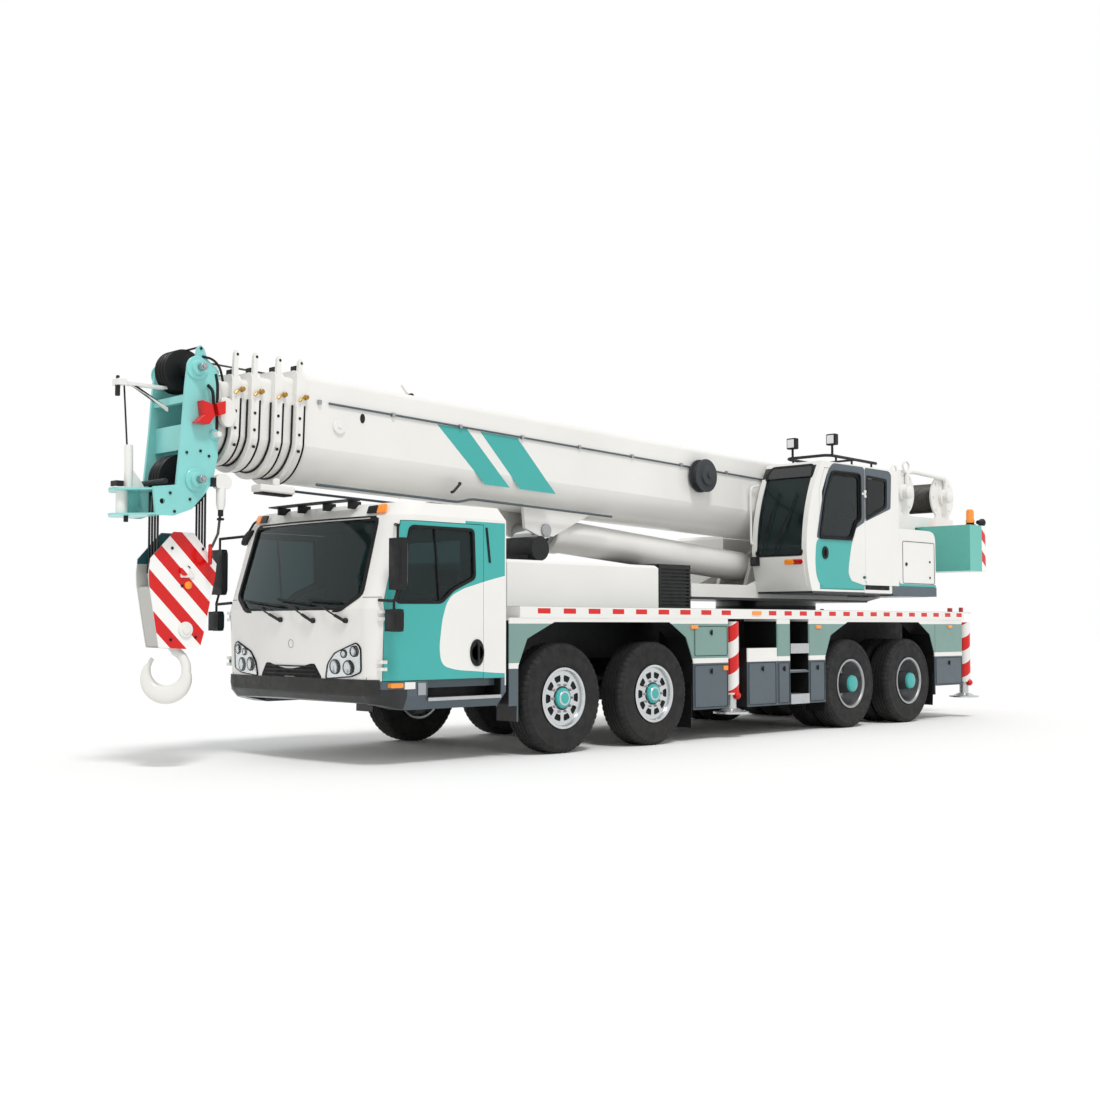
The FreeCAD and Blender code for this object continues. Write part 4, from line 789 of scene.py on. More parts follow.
class Skin:
    """A curved panel with two coordinates, and the plates that are fitted to it."""

    def place(self, s: np.ndarray, z: np.ndarray, out: np.ndarray | float = 0.0) -> np.ndarray:
        """Points at the panel's coordinates s and z, lifted off it by out."""
        raise NotImplementedError

    def badge(self, outline: list, low: float, high: float, dome: float = 0.0) -> Shell:
        """A closed plate that follows the skin: rings of its outline, drawn in to its middle.

        Args:
            outline: (s, z) pairs.
            low: depth of its underside below or above the skin.
            high: height of its rim.
            dome: how much higher its middle stands.

        Returns:
            The closed surface.
        """
        edge = np.array(outline, float)
        middle = edge.mean(axis=0)
        rows = [self.place(edge[:, 0], edge[:, 1], low)]
        for share in (1.0, 0.97, 0.75, 0.5, 0.25):
            ring_at = middle + (edge - middle) * share
            lift = high + dome * (1 - share ** 2)
            rows.append(self.place(ring_at[:, 0], ring_at[:, 1], lift))
        return grid(np.stack(rows), wrap_v=True, cap=True)

    def band(self, line: np.ndarray, width: float, low: float, high: float,
             closed: bool = True) -> Shell:
        """A strip along a line of (s, z) points: its section is a rectangle on the skin."""
        if closed:
            run = np.roll(line, -1, axis=0) - np.roll(line, 1, axis=0)
        else:
            run = np.gradient(line, axis=0)
        run = run / np.linalg.norm(run, axis=1, keepdims=True)
        across = np.stack([-run[:, 1], run[:, 0]], axis=-1) * width / 2
        inner, outer = line - across, line + across
        points = np.stack([self.place(inner[:, 0], inner[:, 1], low),
                           self.place(inner[:, 0], inner[:, 1], high),
                           self.place(outer[:, 0], outer[:, 1], high),
                           self.place(outer[:, 0], outer[:, 1], low)], axis=1)
        return grid(points, wrap_u=closed, wrap_v=True, cap=not closed)

    def panel(self, s: tuple, z: tuple, low: float, high: float) -> Shell:
        """A rectangular cover of the skin between two values of s and two of z."""
        across, upward = np.linspace(*s, 24), np.linspace(*z, 12)
        rows = []
        for out, order in ((low, 1), (high, -1)):
            for height in upward[::order]:
                rows.append(self.place(across, np.full(24, height), out))
        return grid(np.stack(rows, axis=1), wrap_v=True, cap=True)


class OperatorFront(Skin):
    """The operator's cab front: s is y across the vehicle, z is height."""

    def __init__(self) -> None:
        """Work out the side outline: a belly and a raked brow."""
        low = arc_through((-4.25, 1.64), (-4.148, 1.96), (-4.13, 2.25), 30)
        high = arc_through((-4.13, 2.25), (-4.24, 2.80), (-4.46, 3.25), 40)
        self.line = np.vstack([low, high[1:]])

    def place(self, s: np.ndarray, z: np.ndarray, out: np.ndarray | float = 0.0) -> np.ndarray:
        """Points at y = s and height z, lifted off the front along its slope."""
        s, z = np.asarray(s, float), np.asarray(z, float)
        x = np.interp(z, self.line[:, 1], self.line[:, 0])
        rise = (np.interp(z + 0.01, self.line[:, 1], self.line[:, 0])
                - np.interp(z - 0.01, self.line[:, 1], self.line[:, 0])) / 0.02
        long = np.sqrt(1 + rise ** 2)
        return np.stack([x + out / long, s + 0 * z, z - rise / long * out + 0 * s], axis=-1)


class CabSkin(Skin):
    """The driver's cab as a surface: s runs along its plan from the nose, z is height."""

    def __init__(self) -> None:
        """Work out the plan: a bowed front, a round corner and a straight side."""
        front = arc_through((2.315, -1.0), (2.385, 0.0), (2.315, 1.0), 161)[80:]
        corner = arc_through((2.315, 1.0), (2.246, 1.177), (2.08, 1.25), 61)[1:]
        self.plan = np.vstack([front, corner, [[0.785, 1.25]]])
        steps = np.hypot(*np.diff(self.plan, axis=0).T)
        self.along = np.concatenate([[0], np.cumsum(steps)])

    def place(self, s: np.ndarray, z: np.ndarray, out: np.ndarray | float = 0.0) -> np.ndarray:
        """Points on the skin at plan length s and height z, lifted off it by out."""
        s, z = np.asarray(s, float), np.asarray(z, float)
        side, length = np.sign(s + 1e-12), np.abs(s)
        x = np.interp(length, self.along, self.plan[:, 0])
        y = np.interp(length, self.along, self.plan[:, 1])
        ahead = np.stack([np.interp(length + 0.004, self.along, self.plan[:, 0])
                          - np.interp(length - 0.004, self.along, self.plan[:, 0]),
                          np.interp(length + 0.004, self.along, self.plan[:, 1])
                          - np.interp(length - 0.004, self.along, self.plan[:, 1])], axis=-1)
        ahead = ahead / np.linalg.norm(ahead, axis=-1, keepdims=True)
        back = np.interp(z, (0.69, 1.40, 2.24, 2.36), (0.03, 0.0, 0.245, 0.295))
        x = x - back + ahead[..., 1] * out
        y = y - ahead[..., 0] * out
        return np.stack([x, y * side, z + 0 * s], axis=-1)


@dataclass
class DriverCab(Maker):
    """Everything on and in the driver's cab."""

    skin: CabSkin = field(default_factory=CabSkin)
    screen: tuple = ((-0.985, 1.532), (-0.75, 1.39), (0.75, 1.39), (0.985, 1.532),
                     (0.955, 2.212), (-0.955, 2.212))
    side_window: tuple = ((1.94, 2.135), (2.105, 1.455), (1.585, 1.46), (1.44, 1.58),
                          (1.18, 1.69), (1.20, 2.135))
    lamp: tuple = ((0.541, 0.775), (0.573, 0.909), (0.666, 1.004), (0.952, 1.10),
                   (1.003, 1.05), (1.000, 0.84), (0.881, 0.80))
    # Columns: pivot s, pivot z, arm end s, arm end z, blade's two ends
    wipers: tuple = ((-0.110, 1.306, -0.517, 1.444, -0.833, 1.494, -0.088, 1.430),
                     (0.388, 1.296, 0.043, 1.447, -0.181, 1.494, 0.348, 1.444),
                     (0.827, 1.295, 0.518, 1.425, 0.306, 1.479, 0.762, 1.457))
    swoosh: tuple = ((0.800, 0.70), (0.812, 0.95), (0.828, 1.136), (0.861, 1.464),
                     (0.906, 1.567), (1.010, 1.602), (1.183, 1.592), (1.355, 1.558),
                     (1.495, 1.490), (1.566, 1.375), (1.632, 1.163), (1.730, 0.75))

    def finishes(self) -> None:
        """Paint the cab's CAD nodes."""
        white = layer(WHITE, 0.80, 1.73,
                     rear_of=self.swoosh)
        door = Finish("door_paint_turquoise_with_white_field", TEAL, zones=(white,), **PAINT)
        shell = Finish("cab_paint_white_with_turquoise_flank", WHITE, zones=(
            Zone(TEAL, low=(0.80, 1.235, 0.70), high=(1.30, None, 2.215)),
            Zone(TEAL, low=(0.80, None, 0.70), high=(1.30, -1.235, 2.215)),
            layer(WHITE, 0.80, 1.73, rear_of=self.swoosh),
            Zone(WHITE, high=(0.80, None, None)),
            Zone(SLATE, low=(0.80, 1.10, None), high=(2.225, None, 0.764)),
            Zone(SLATE, low=(0.80, None, None), high=(2.225, -1.10, 0.764)),
        ), **PAINT)
        dress("cab_shell", shell)
        dress("cab_door_left", door)
        dress("cab_door_right", door)
        dress("cab_glass", GLASS)
        dress("cab_dashboard", GREY_PLASTIC)
        dress("mirrors", BLACK_PLASTIC)
        dress("bumper", Finish("bumper_paint_slate_and_black", SLATE, zones=(
            Zone(DARK, low=(1.98, None, None)),), **PAINT))

    def front(self) -> None:
        """Windscreen seal, wipers, lamps, grille, cap and the seam below the screen."""
        skin = self.skin
        line = closed_line(self.screen, 0.05, 6)
        self.add("windscreen_seal", [skin.band(line, 0.040, -0.012, 0.006)], SEAL_RUBBER)
        arms, blades = [], []
        for ps, pz, es, ez, b0s, b0z, b1s, b1z in self.wipers:
            path = skin.place(np.linspace(ps, es, 8), np.linspace(pz, ez, 8),
                              np.array([0.018, 0.03, 0.036, 0.036, 0.034, 0.03, 0.026, 0.022]))
            arms.append(sweep(path, circle(0.0075, 8), (0.3, 0, 1)))
            root = skin.place(np.array([ps]), np.array([pz]), 0.0)[0]
            arms.append(revolve([(0, -0.01), (0.024, -0.01), (0.024, 0.022), (0.014, 0.034),
                                 (0, 0.036)], tuple(root), Axis.X, 16))
            knee = skin.place(np.linspace(ps, ps * 0.62 + es * 0.38, 4),
                              np.linspace(pz, pz * 0.62 + ez * 0.38, 4), 0.03)
            arms.append(sweep(knee, np.array([(-0.014, -0.008), (0.014, -0.008),
                                              (0.010, 0.008), (-0.010, 0.008)]), (0.3, 0, 1)))
            s, z = np.linspace(b0s, b1s, 14), np.linspace(b0z, b1z, 14)
            blades.append(sweep(skin.place(s, z, 0.012), np.array(
                [(-0.004, -0.012), (0.004, -0.012), (0.009, 0.010), (-0.009, 0.010)]),
                (1, 0, 0.2)))
        self.add("wiper_arms", arms, BLACK_PAINT, slot="black_plastic")
        self.add("wiper_blades", blades, SEAL_RUBBER)
        outline = closed_line(self.lamp, 0.03, 5)
        flip = outline * np.array([-1, 1])
        self.add("headlamp_frames", [skin.band(o, 0.012, -0.01, 0.008) for o in (outline, flip)],
                 BLACK_PLASTIC)
        self.add("headlamp_reflectors", [skin.badge(o, -0.005, 0.001) for o in (outline, flip)],
                 REFLECTOR)
        bulbs, cups = [], []
        for sign in (-1, 1):
            for s, z, r in ((0.674, 0.885, 0.062), (0.847, 0.879, 0.062), (0.925, 1.024, 0.045),
                            (0.79, 1.0, 0.032)):
                middle = skin.place(np.array([s * sign]), np.array([z]), 0.0)[0]
                turn = -sign * (0.16 if s < 0.9 else 0.3)
                cups.append(revolve([(r, -0.01), (r + 0.006, -0.01), (r + 0.006, 0.012),
                                     (r, 0.014)], (0, 0, 0), Axis.X, 28, loop=True)
                            .turned(Axis.Z, -turn).moved(*middle))
                bulbs.append(revolve([(0, 0.0), (r * 0.96, 0.0), (r * 0.96, 0.006),
                                      (r * 0.7, 0.016), (0, 0.020)], (0, 0, 0), Axis.X, 24)
                             .turned(Axis.Z, -turn).moved(*middle))
        self.add("headlamp_cups", cups, BLACK_PLASTIC)
        self.add("headlamp_bulbs", bulbs, LENS)
        self.add("headlamp_covers", [skin.badge(o, 0.006, 0.016, 0.004) for o in (outline, flip)],
                 LENS)
        grille = closed_line([(-0.385, 0.905), (0.385, 0.905), (0.475, 0.79), (0.475, 0.74),
                              (-0.475, 0.74), (-0.475, 0.79)], 0.02, 4)
        self.add("grille_recess", [skin.badge(grille, -0.01, 0.002)], BLACK_TOP)
        bars = []
        for z in (0.775, 0.81, 0.845, 0.88):
            reach = 0.375 + (0.905 - z) * 0.55
            bars.append(skin.band(np.stack([np.linspace(-reach, reach, 20), np.full(20, z)],
                                           axis=-1), 0.012, 0.0, 0.010, closed=False))
        self.add("grille_bars", bars, BLACK_PLASTIC)
        self.add("tow_cap", [skin.band(np.array(oval(0.035, 1.084, 0.075, 0.075)), 0.003, 0.0,
                                       0.0015)], SEAL_RUBBER)
        seams = []
        for sign in (-1, 1):
            line = np.stack([np.linspace(1.0, 1.205, 8) * sign, np.full(8, 1.50)], axis=-1)
            seams.append(skin.band(line, 0.005, 0.0, 0.0012, closed=False))
            line = np.stack([np.full(8, 1.06 * sign), np.linspace(0.70, 0.795, 8)], axis=-1)
            seams.append(skin.band(line, 0.005, 0.0, 0.0012, closed=False))
        self.add("cab_front_seams", seams, SEAL_RUBBER)
        apron = np.stack([skin.place(np.linspace(-1.19, 1.19, 60),
                                     np.full(60, z), out)
                          for z, out in ((0.70, 0.0), (0.775, 0.004), (0.775, 0.010),
                                         (0.70, 0.016), (0.63, 0.004), (0.60, -0.06),
                                         (0.62, -0.10))])
        self.add("front_apron", [grid(apron, wrap_u=True)], BLACK_PAINT, slot="slate_paint")

    def roof(self) -> None:
        """Corner lamps, sun visor and the bar over the windscreen."""
        skin = self.skin
        lamps, dark, visor = [], [], []
        for sign in (-1, 1):
            amber = [(0.93, 2.262), (1.045, 2.262), (1.02, 2.345), (0.925, 2.340)]
            clear = [(0.80, 2.262), (0.922, 2.262), (0.917, 2.338), (0.80, 2.332)]
            lamps.append(skin.badge([(s * sign, z) for s, z in closed_line(amber, 0.015, 4)], 0,
                                    0.016, 0.006))
            dark.append(skin.badge([(s * sign, z) for s, z in closed_line(clear, 0.015, 4)], 0,
                                   0.014, 0.004))
        self.add("roof_marker_lamps", lamps, AMBER)
        self.add("roof_lamp_blocks", dark, BLACK_PLASTIC)
        s = np.linspace(-0.66, 0.66, 40)
        line = skin.place(s, np.full(40, 2.345), 0.045)
        bar = line + np.array([0, 0, 0.05])
        visor.append(sweep(bar, np.array([(-0.05, -0.004), (0.05, -0.010), (0.05, -0.002),
                                          (-0.05, 0.008)]), (0, 0, 1)))
        for at in (-0.56, -0.2, 0.2, 0.56):
            foot = skin.place(np.array([at]), np.array([2.33]), 0.0)[0]
            visor.append(block(tuple(foot + np.array([-0.10, -0.012, -0.01])),
                               tuple(foot + np.array([0.04, 0.012, 0.06]))))
        self.add("roof_visor", visor, BLACK_PLASTIC, bevel=0.002)
        strips = [skin.band(np.stack([np.linspace(-0.93, 0.93, 50), np.full(50, 2.232)],
                                     axis=-1), 0.016, -0.002, 0.005, closed=False)]
        self.add("roof_rain_strip", strips, SEAL_RUBBER)

    def doors(self) -> None:
        """Window glass and seals, handle bowls, air slits, and the entry steps."""
        glass_line = closed_line(self.side_window, 0.04, 5)
        flat = np.column_stack([glass_line[:, 0], np.full(len(glass_line), 1.236),
                                glass_line[:, 1]])
        section = np.array([(-0.014, -0.016), (0.014, -0.016), (0.014, 0.016), (-0.014, 0.016)])
        for side, sign in SIDES:
            pane = [plate(glass_line, 1.224, 1.230)]
            seal = [sweep(flat, section, (0, 1, 0), closed=True)]
            handle = [plate(oval(1.155, 1.0, 0.17, 0.25), 1.24, 1.262)]
            grip = [pipe([(1.155, 1.262, 0.90), (1.155, 1.276, 0.93), (1.155, 1.276, 1.07),
                          (1.155, 1.262, 1.10)], 0.012, 0.02, (1, 0, 0))]
            guide = [pipe([(1.60, 1.237, 1.47), (1.66, 1.237, 2.12)], 0.011, 0.02, (0, 1, 0))]
            body = f"cab_door_{side}"
            rows = (("window", pane, GLASS), ("window_seal", seal, SEAL_RUBBER),
                    ("handle_bowl", handle, BLACK_PLASTIC), ("handle_grip", grip, BLACK_PLASTIC),
                    ("window_guide", guide, SEAL_RUBBER))
            for name, shells, finish in rows:
                if sign < 0:
                    shells = [shell.mirrored() for shell in shells]
                self.add(f"cab_door_{name}_{side}", shells, finish, body, bevel=0.002
                         if "bowl" in name else 0.0)
        slit = plate(closed_line([(0.982, 1.835), (1.008, 1.835), (1.052, 2.165), (1.026, 2.165)],
                                 0.012, 4), 1.248, 1.256)
        self.add("cab_air_slits", both([slit]), SEAL_RUBBER)
        tread = []
        for rib in range(9):
            y = 1.045 + rib * 0.024
            tread.append(block((0.850, y, 0.585), (1.742, y + 0.014, 0.598)))
        edge = block((0.850, 1.238, 0.575), (1.742, 1.258, 0.606))
        self.add("cab_step_treads", both(tread + [edge]), TREAD_PLATE, bevel=0.002)
        well = [block((0.852, 1.031, 0.60), (1.742, 1.036, 0.755)),
                block((0.848, 1.031, 0.60), (0.853, 1.24, 0.755)),
                block((1.738, 1.031, 0.60), (1.743, 1.24, 0.755))]
        self.add("cab_step_wells", both(well), BLACK_PLASTIC)
        marker = plate(closed_line([(2.030, 0.703), (2.170, 0.703), (2.170, 0.745),
                                    (2.030, 0.745)], 0.012, 4), 1.205, 1.262)
        bare = [block((1.892, 1.205, 0.688), (2.012, 1.258, 0.750))]
        self.add("cab_side_plates", both(bare), WHITE_PAINT, bevel=0.003)
        tab = [block((1.772, 1.205, 0.632), (1.862, 1.260, 0.742))]
        self.add("cab_side_tabs", both(tab), BARE_STEEL, bevel=0.003)
        self.add("cab_side_markers", both([marker]), AMBER, bevel=0.003)

    def mirrors(self) -> None:
        """Mirror housings round the CAD blocks, their glass, and the inside mirror."""
        heads, glass = [], []
        for x0, x1, y0, y1, z0, z1 in ((2.222, 2.304, 1.326, 1.504, 1.196, 1.394),
                                       (2.190, 2.266, 1.322, 1.508, 1.556, 2.014)):
            outline = closed_line([(y0, z0), (y1, z0), (y1, z1), (y0, z1)], 0.045, 6)
            centre = outline.mean(axis=0)
            rows = []
            for x, share in ((x0, 0.93), (x0 + 0.008, 1.0), ((x0 + x1) / 2, 1.0),
                             (x1 - 0.012, 0.93), (x1, 0.72)):
                edge = centre + (outline - centre) * share
                rows.append(np.column_stack([np.full(len(edge), x), edge]))
            heads.append(grid(np.stack(rows), wrap_v=True, cap=True))
            inner = centre + (outline - centre) * 0.9
            glass.append(plate(inner, x0 - 0.003, x0 + 0.002, Axis.X))
        turn = np.linspace(0, 2 * math.pi, 24, endpoint=False)
        rows = []
        for depth, share in ((-0.03, 0.80), (-0.015, 1.0), (0.02, 0.9), (0.035, 0.5)):
            rows.append(np.stack([2.10 + depth + 0 * turn,
                                  -1.115 + share * (0.115 * np.cos(turn) * 0.8
                                                    + 0.045 * np.sin(turn) * 0.6),
                                  2.125 + share * (0.115 * np.cos(turn) * 0.6
                                                   - 0.045 * np.sin(turn) * 0.8)], axis=-1))
        roof_mirror = [grid(np.stack(rows), wrap_v=True, cap=True),
                       pipe([(2.02, -0.98, 2.29), (2.08, -1.02, 2.28), (2.11, -1.07, 2.19)],
                            0.012, 0.03, (1, 0, 0))]
        self.add("roof_mirror", roof_mirror, BLACK_PLASTIC)
        self.add("mirror_housings", both(heads), BLACK_PLASTIC)
        self.add("mirror_glass", both(glass), MIRROR)

    def seats(self) -> None:
        """Cushions, back rests and head rests of the two seats."""
        for side, sign in (("left", 1), ("right", -1)):
            y = 0.62 * sign
            pads = []
            for low, high, lean in (((1.10, y - 0.24, 1.0103), (1.56, y + 0.24, 1.13), 0.0),
                                    ((0.99, y - 0.22, 1.11), (1.12, y + 0.22, 1.62), 0.13),
                                    ((0.93, y - 0.13, 1.63), (1.02, y + 0.13, 1.79), 0.0)):
                pads.append(cushion(low, high, lean))
            piece = self.add(f"cab_seat_{side}", pads, SEAT_CLOTH, subdivide=1, smooth=80,
                             replaces=("cab_seats",) if sign > 0 else ())

    def build(self) -> None:
        """Make the whole cab."""
        self.finishes()
        self.front()
        self.roof()
        self.doors()
        self.mirrors()
        self.seats()


def cushion(low: tuple, high: tuple, lean: float = 0.0) -> Shell:
    """A crowned cushion: a rounded box whose faces swell between their edges.

    The sides follow a superellipse of power 4 in plan; the height swells by the product
    of the two falling squares of the plan coordinates.  lean tips its top backwards.
    """
    low_corner, high_corner = np.array(low, float), np.array(high, float)
    middle, half = (low_corner + high_corner) / 2, (high_corner - low_corner) / 2
    v = np.linspace(-math.pi / 2, math.pi / 2, 13)[:, None]
    u = np.linspace(0, 2 * math.pi, 24, endpoint=False)[None, :]

    def root(value: np.ndarray) -> np.ndarray:
        """Signed power that squares the circle off."""
        return np.sign(value) * np.abs(value) ** 0.45

    x = root(np.cos(v)) * root(np.cos(u))
    y = root(np.cos(v)) * root(np.sin(u))
    z = root(np.sin(v)) + 0 * u
    swell = 1 - 0.10 * (1 - (1 - x ** 2) * (1 - y ** 2))
    points = np.stack([middle[0] + half[0] * x - lean * (z + 1) / 2,
                       middle[1] + half[1] * y, middle[2] + half[2] * z * swell], axis=-1)
    return grid(points, wrap_v=True, cap=True)


class Carrier(Maker):
    """The deck's edge, lockers, guards, lamps and the parts between them."""

    def finishes(self) -> None:
        """Paint the carrier's CAD nodes."""
        # Columns: rear and front end, then the stripes' pitch, painted share and offset
        runs = ((-2.66, 0.37, 0.357, 0.49, 0.4734), (-8.03, -3.30, 0.305, 0.475, 0.5146))
        marks = [Zone(RED, (rear, right, 1.367), (front, left, 1.419), Stripe((1, 0, 0), *stripe))
                 for right, left in ((None, -1.245), (1.245, None))
                 for rear, front, *stripe in runs]
        dress("deck", Finish("deck_edge_paint_with_red_blocks", WHITE, zones=(
            layer("9B9F9F", 1.434), *marks), **PAINT))
        dress("side_bodywork", Finish("locker_paint_banded", SLATE, zones=(
            layer("76968F", 0.895),
            layer(WHITE, 0.842, 0.895),
            Zone(WHITE, low=(-3.52, None, 0.854), high=(-2.95, None, 0.995)),
            layer(WHITE, 1.270),
            Zone(BLACK, low=(-3.52, None, 1.0), high=(-2.90, None, 1.33)),
            Zone(BLACK, low=(None, -1.236, None), high=(None, 1.236, 1.30)),
        ), rough=0.42, coat=0.25, shade=0.04, grain_size=10.0, grain_depth=0.04, dust=0.08))
        dress("chassis_frame", BLACK_PAINT)
        dress("engine_cover", WHITE_PAINT)
        dress("engine_and_cooler", BLACK_PAINT)
        for place in ("front", "rear"):
            for side in ("left", "right"):
                dress(f"outrigger_beam_{place}_{side}", Finish(
                    "jack_tube_red_and_white", WHITE, zones=(
                        layer(RED, 0.50,
                             stripe=Stripe((0.55, 0.0, 0.835), 0.30, 0.5)),
                    ), **PAINT))
                dress(f"outrigger_jack_{place}_{side}", Finish(
                    "chromed_leg_with_pale_pad", "C6C9CA", rough=0.25, metal=0.6, shade=0.06))

    def lockers(self) -> None:
        """Seams, latches and mud flaps."""
        seams, latches, flaps = [], [], []
        for x0, x1, z0, z1 in ((-2.61, -2.0, 0.34, 0.842), (-3.515, -2.96, 0.335, 0.85),
                               (-4.50, -4.16, 0.335, 0.842), (-7.78, -7.06, 0.45, 0.842),
                               (-2.61, -2.0, 0.90, 1.265), (-3.78, -3.53, 0.335, 0.842)):
            inset = 0.022
            line = [(x0 + inset, 1.2505, z0 + inset), (x1 - inset, 1.2505, z0 + inset),
                    (x1 - inset, 1.2505, z1 - inset), (x0 + inset, 1.2505, z1 - inset)]
            seams.append(sweep(closed_line(line, 0.02, 4), np.array([(-0.003, -0.003),
                                                                     (0.003, -0.003),
                                                                     (0.003, 0.003),
                                                                     (-0.003, 0.003)]), (0, 1, 0),
                               closed=True))
            middle = (x0 + x1) / 2
            latches.append(drum(0.022, 1.246, 1.262, (middle, 0, z1 - 0.09), steps=18))
            latches.append(block((middle - 0.006, 1.258, z1 - 0.12),
                                 (middle + 0.006, 1.270, z1 - 0.06)))
        self.add("locker_seams", both(seams), SEAL_RUBBER)
        self.add("locker_latches", both(latches), BLACK_PLASTIC, bevel=0.001)
        for x, z0 in ((-1.985, 0.15), (-7.02, 0.20), (-4.52, 0.22)):
            u = np.linspace(0, 1, 12)[:, None]
            v = np.linspace(0, 1, 8)[None, :]
            wave = 0.006 * np.sin(v * math.pi * 2) * u
            face = [np.stack([x + wave + offset + 0.02 * (u ** 2), 0.965 + 0.275 * v + 0 * u,
                              0.62 - (0.62 - z0) * u + 0 * v], axis=-1)
                    for offset in (0.0, 0.008)]
            loop = np.concatenate([face[0], face[1][:, ::-1]], axis=1)
            flaps.append(grid(loop, wrap_v=True, cap=True))
        self.add("mud_flaps", both(flaps), SEAL_RUBBER)

    def trim(self) -> None:
        """Marker lamps, ladder treads, tail and deck lamps, and the jack balls."""
        amber = []
        for x0, x1, z0, z1 in ((-2.07, -1.953, 1.216, 1.256), (-2.591, -2.513, 0.758, 0.808),
                               (-3.215, -3.05, 1.372, 1.414), (-4.40, -4.30, 1.216, 1.256),
                               (-7.50, -7.40, 1.216, 1.256)):
            amber.append(plate(closed_line([(x0, z0), (x1, z0), (x1, z1), (x0, z1)], 0.012, 4),
                               1.245, 1.262))
        self.add("side_marker_lamps", both(amber), AMBER, bevel=0.002)
        treads = []
        for z in (0.444, 0.724, 1.004):
            for rib in range(12):
                y = 0.80 + rib * 0.037
                treads.append(block((-4.155, y, z - 0.001), (-3.785, y + 0.018, z + 0.006)))
        for z in (0.335, 0.925):
            treads.append(block((-4.156, 1.205, z), (-3.784, 1.256, z + 0.115)))
        self.add("ladder_treads", both(treads), TREAD_PLATE)
        tail = []
        for y in (1.08, 0.94, 0.80):
            tail.append(drum(0.055, -8.046, -8.024, (0, y, 1.20), Axis.X, steps=24))
        self.add("tail_lamps", both(tail), RED_LENS)
        deck_lamps = [drum(0.035, 1.437, 1.49, (-7.66, 1.14, 0), Axis.Z),
                      drum(0.030, 1.437, 1.50, (-7.96, 1.14, 0), Axis.Z)]
        self.add("deck_lamps", both(deck_lamps), RED_LENS)
        balls = [revolve([(0.045 * math.sin(t), 0.045 * -math.cos(t))
                          for t in np.linspace(0, math.pi, 13)], (x, 1.23, 0.47), Axis.Z, 20)
                 for x in (-2.785, -8.0)]
        for index, (place, x) in enumerate((("front", -2.785), ("rear", -8.0))):
            for side, sign in SIDES:
                shell = balls[index] if sign > 0 else balls[index].mirrored()
                self.add(f"jack_ball_{place}_{side}", [shell], RED_PAINT,
                         f"outrigger_beam_{place}_{side}")

    def build(self) -> None:
        """Make everything on the carrier."""
        self.finishes()
        self.lockers()
        self.trim()


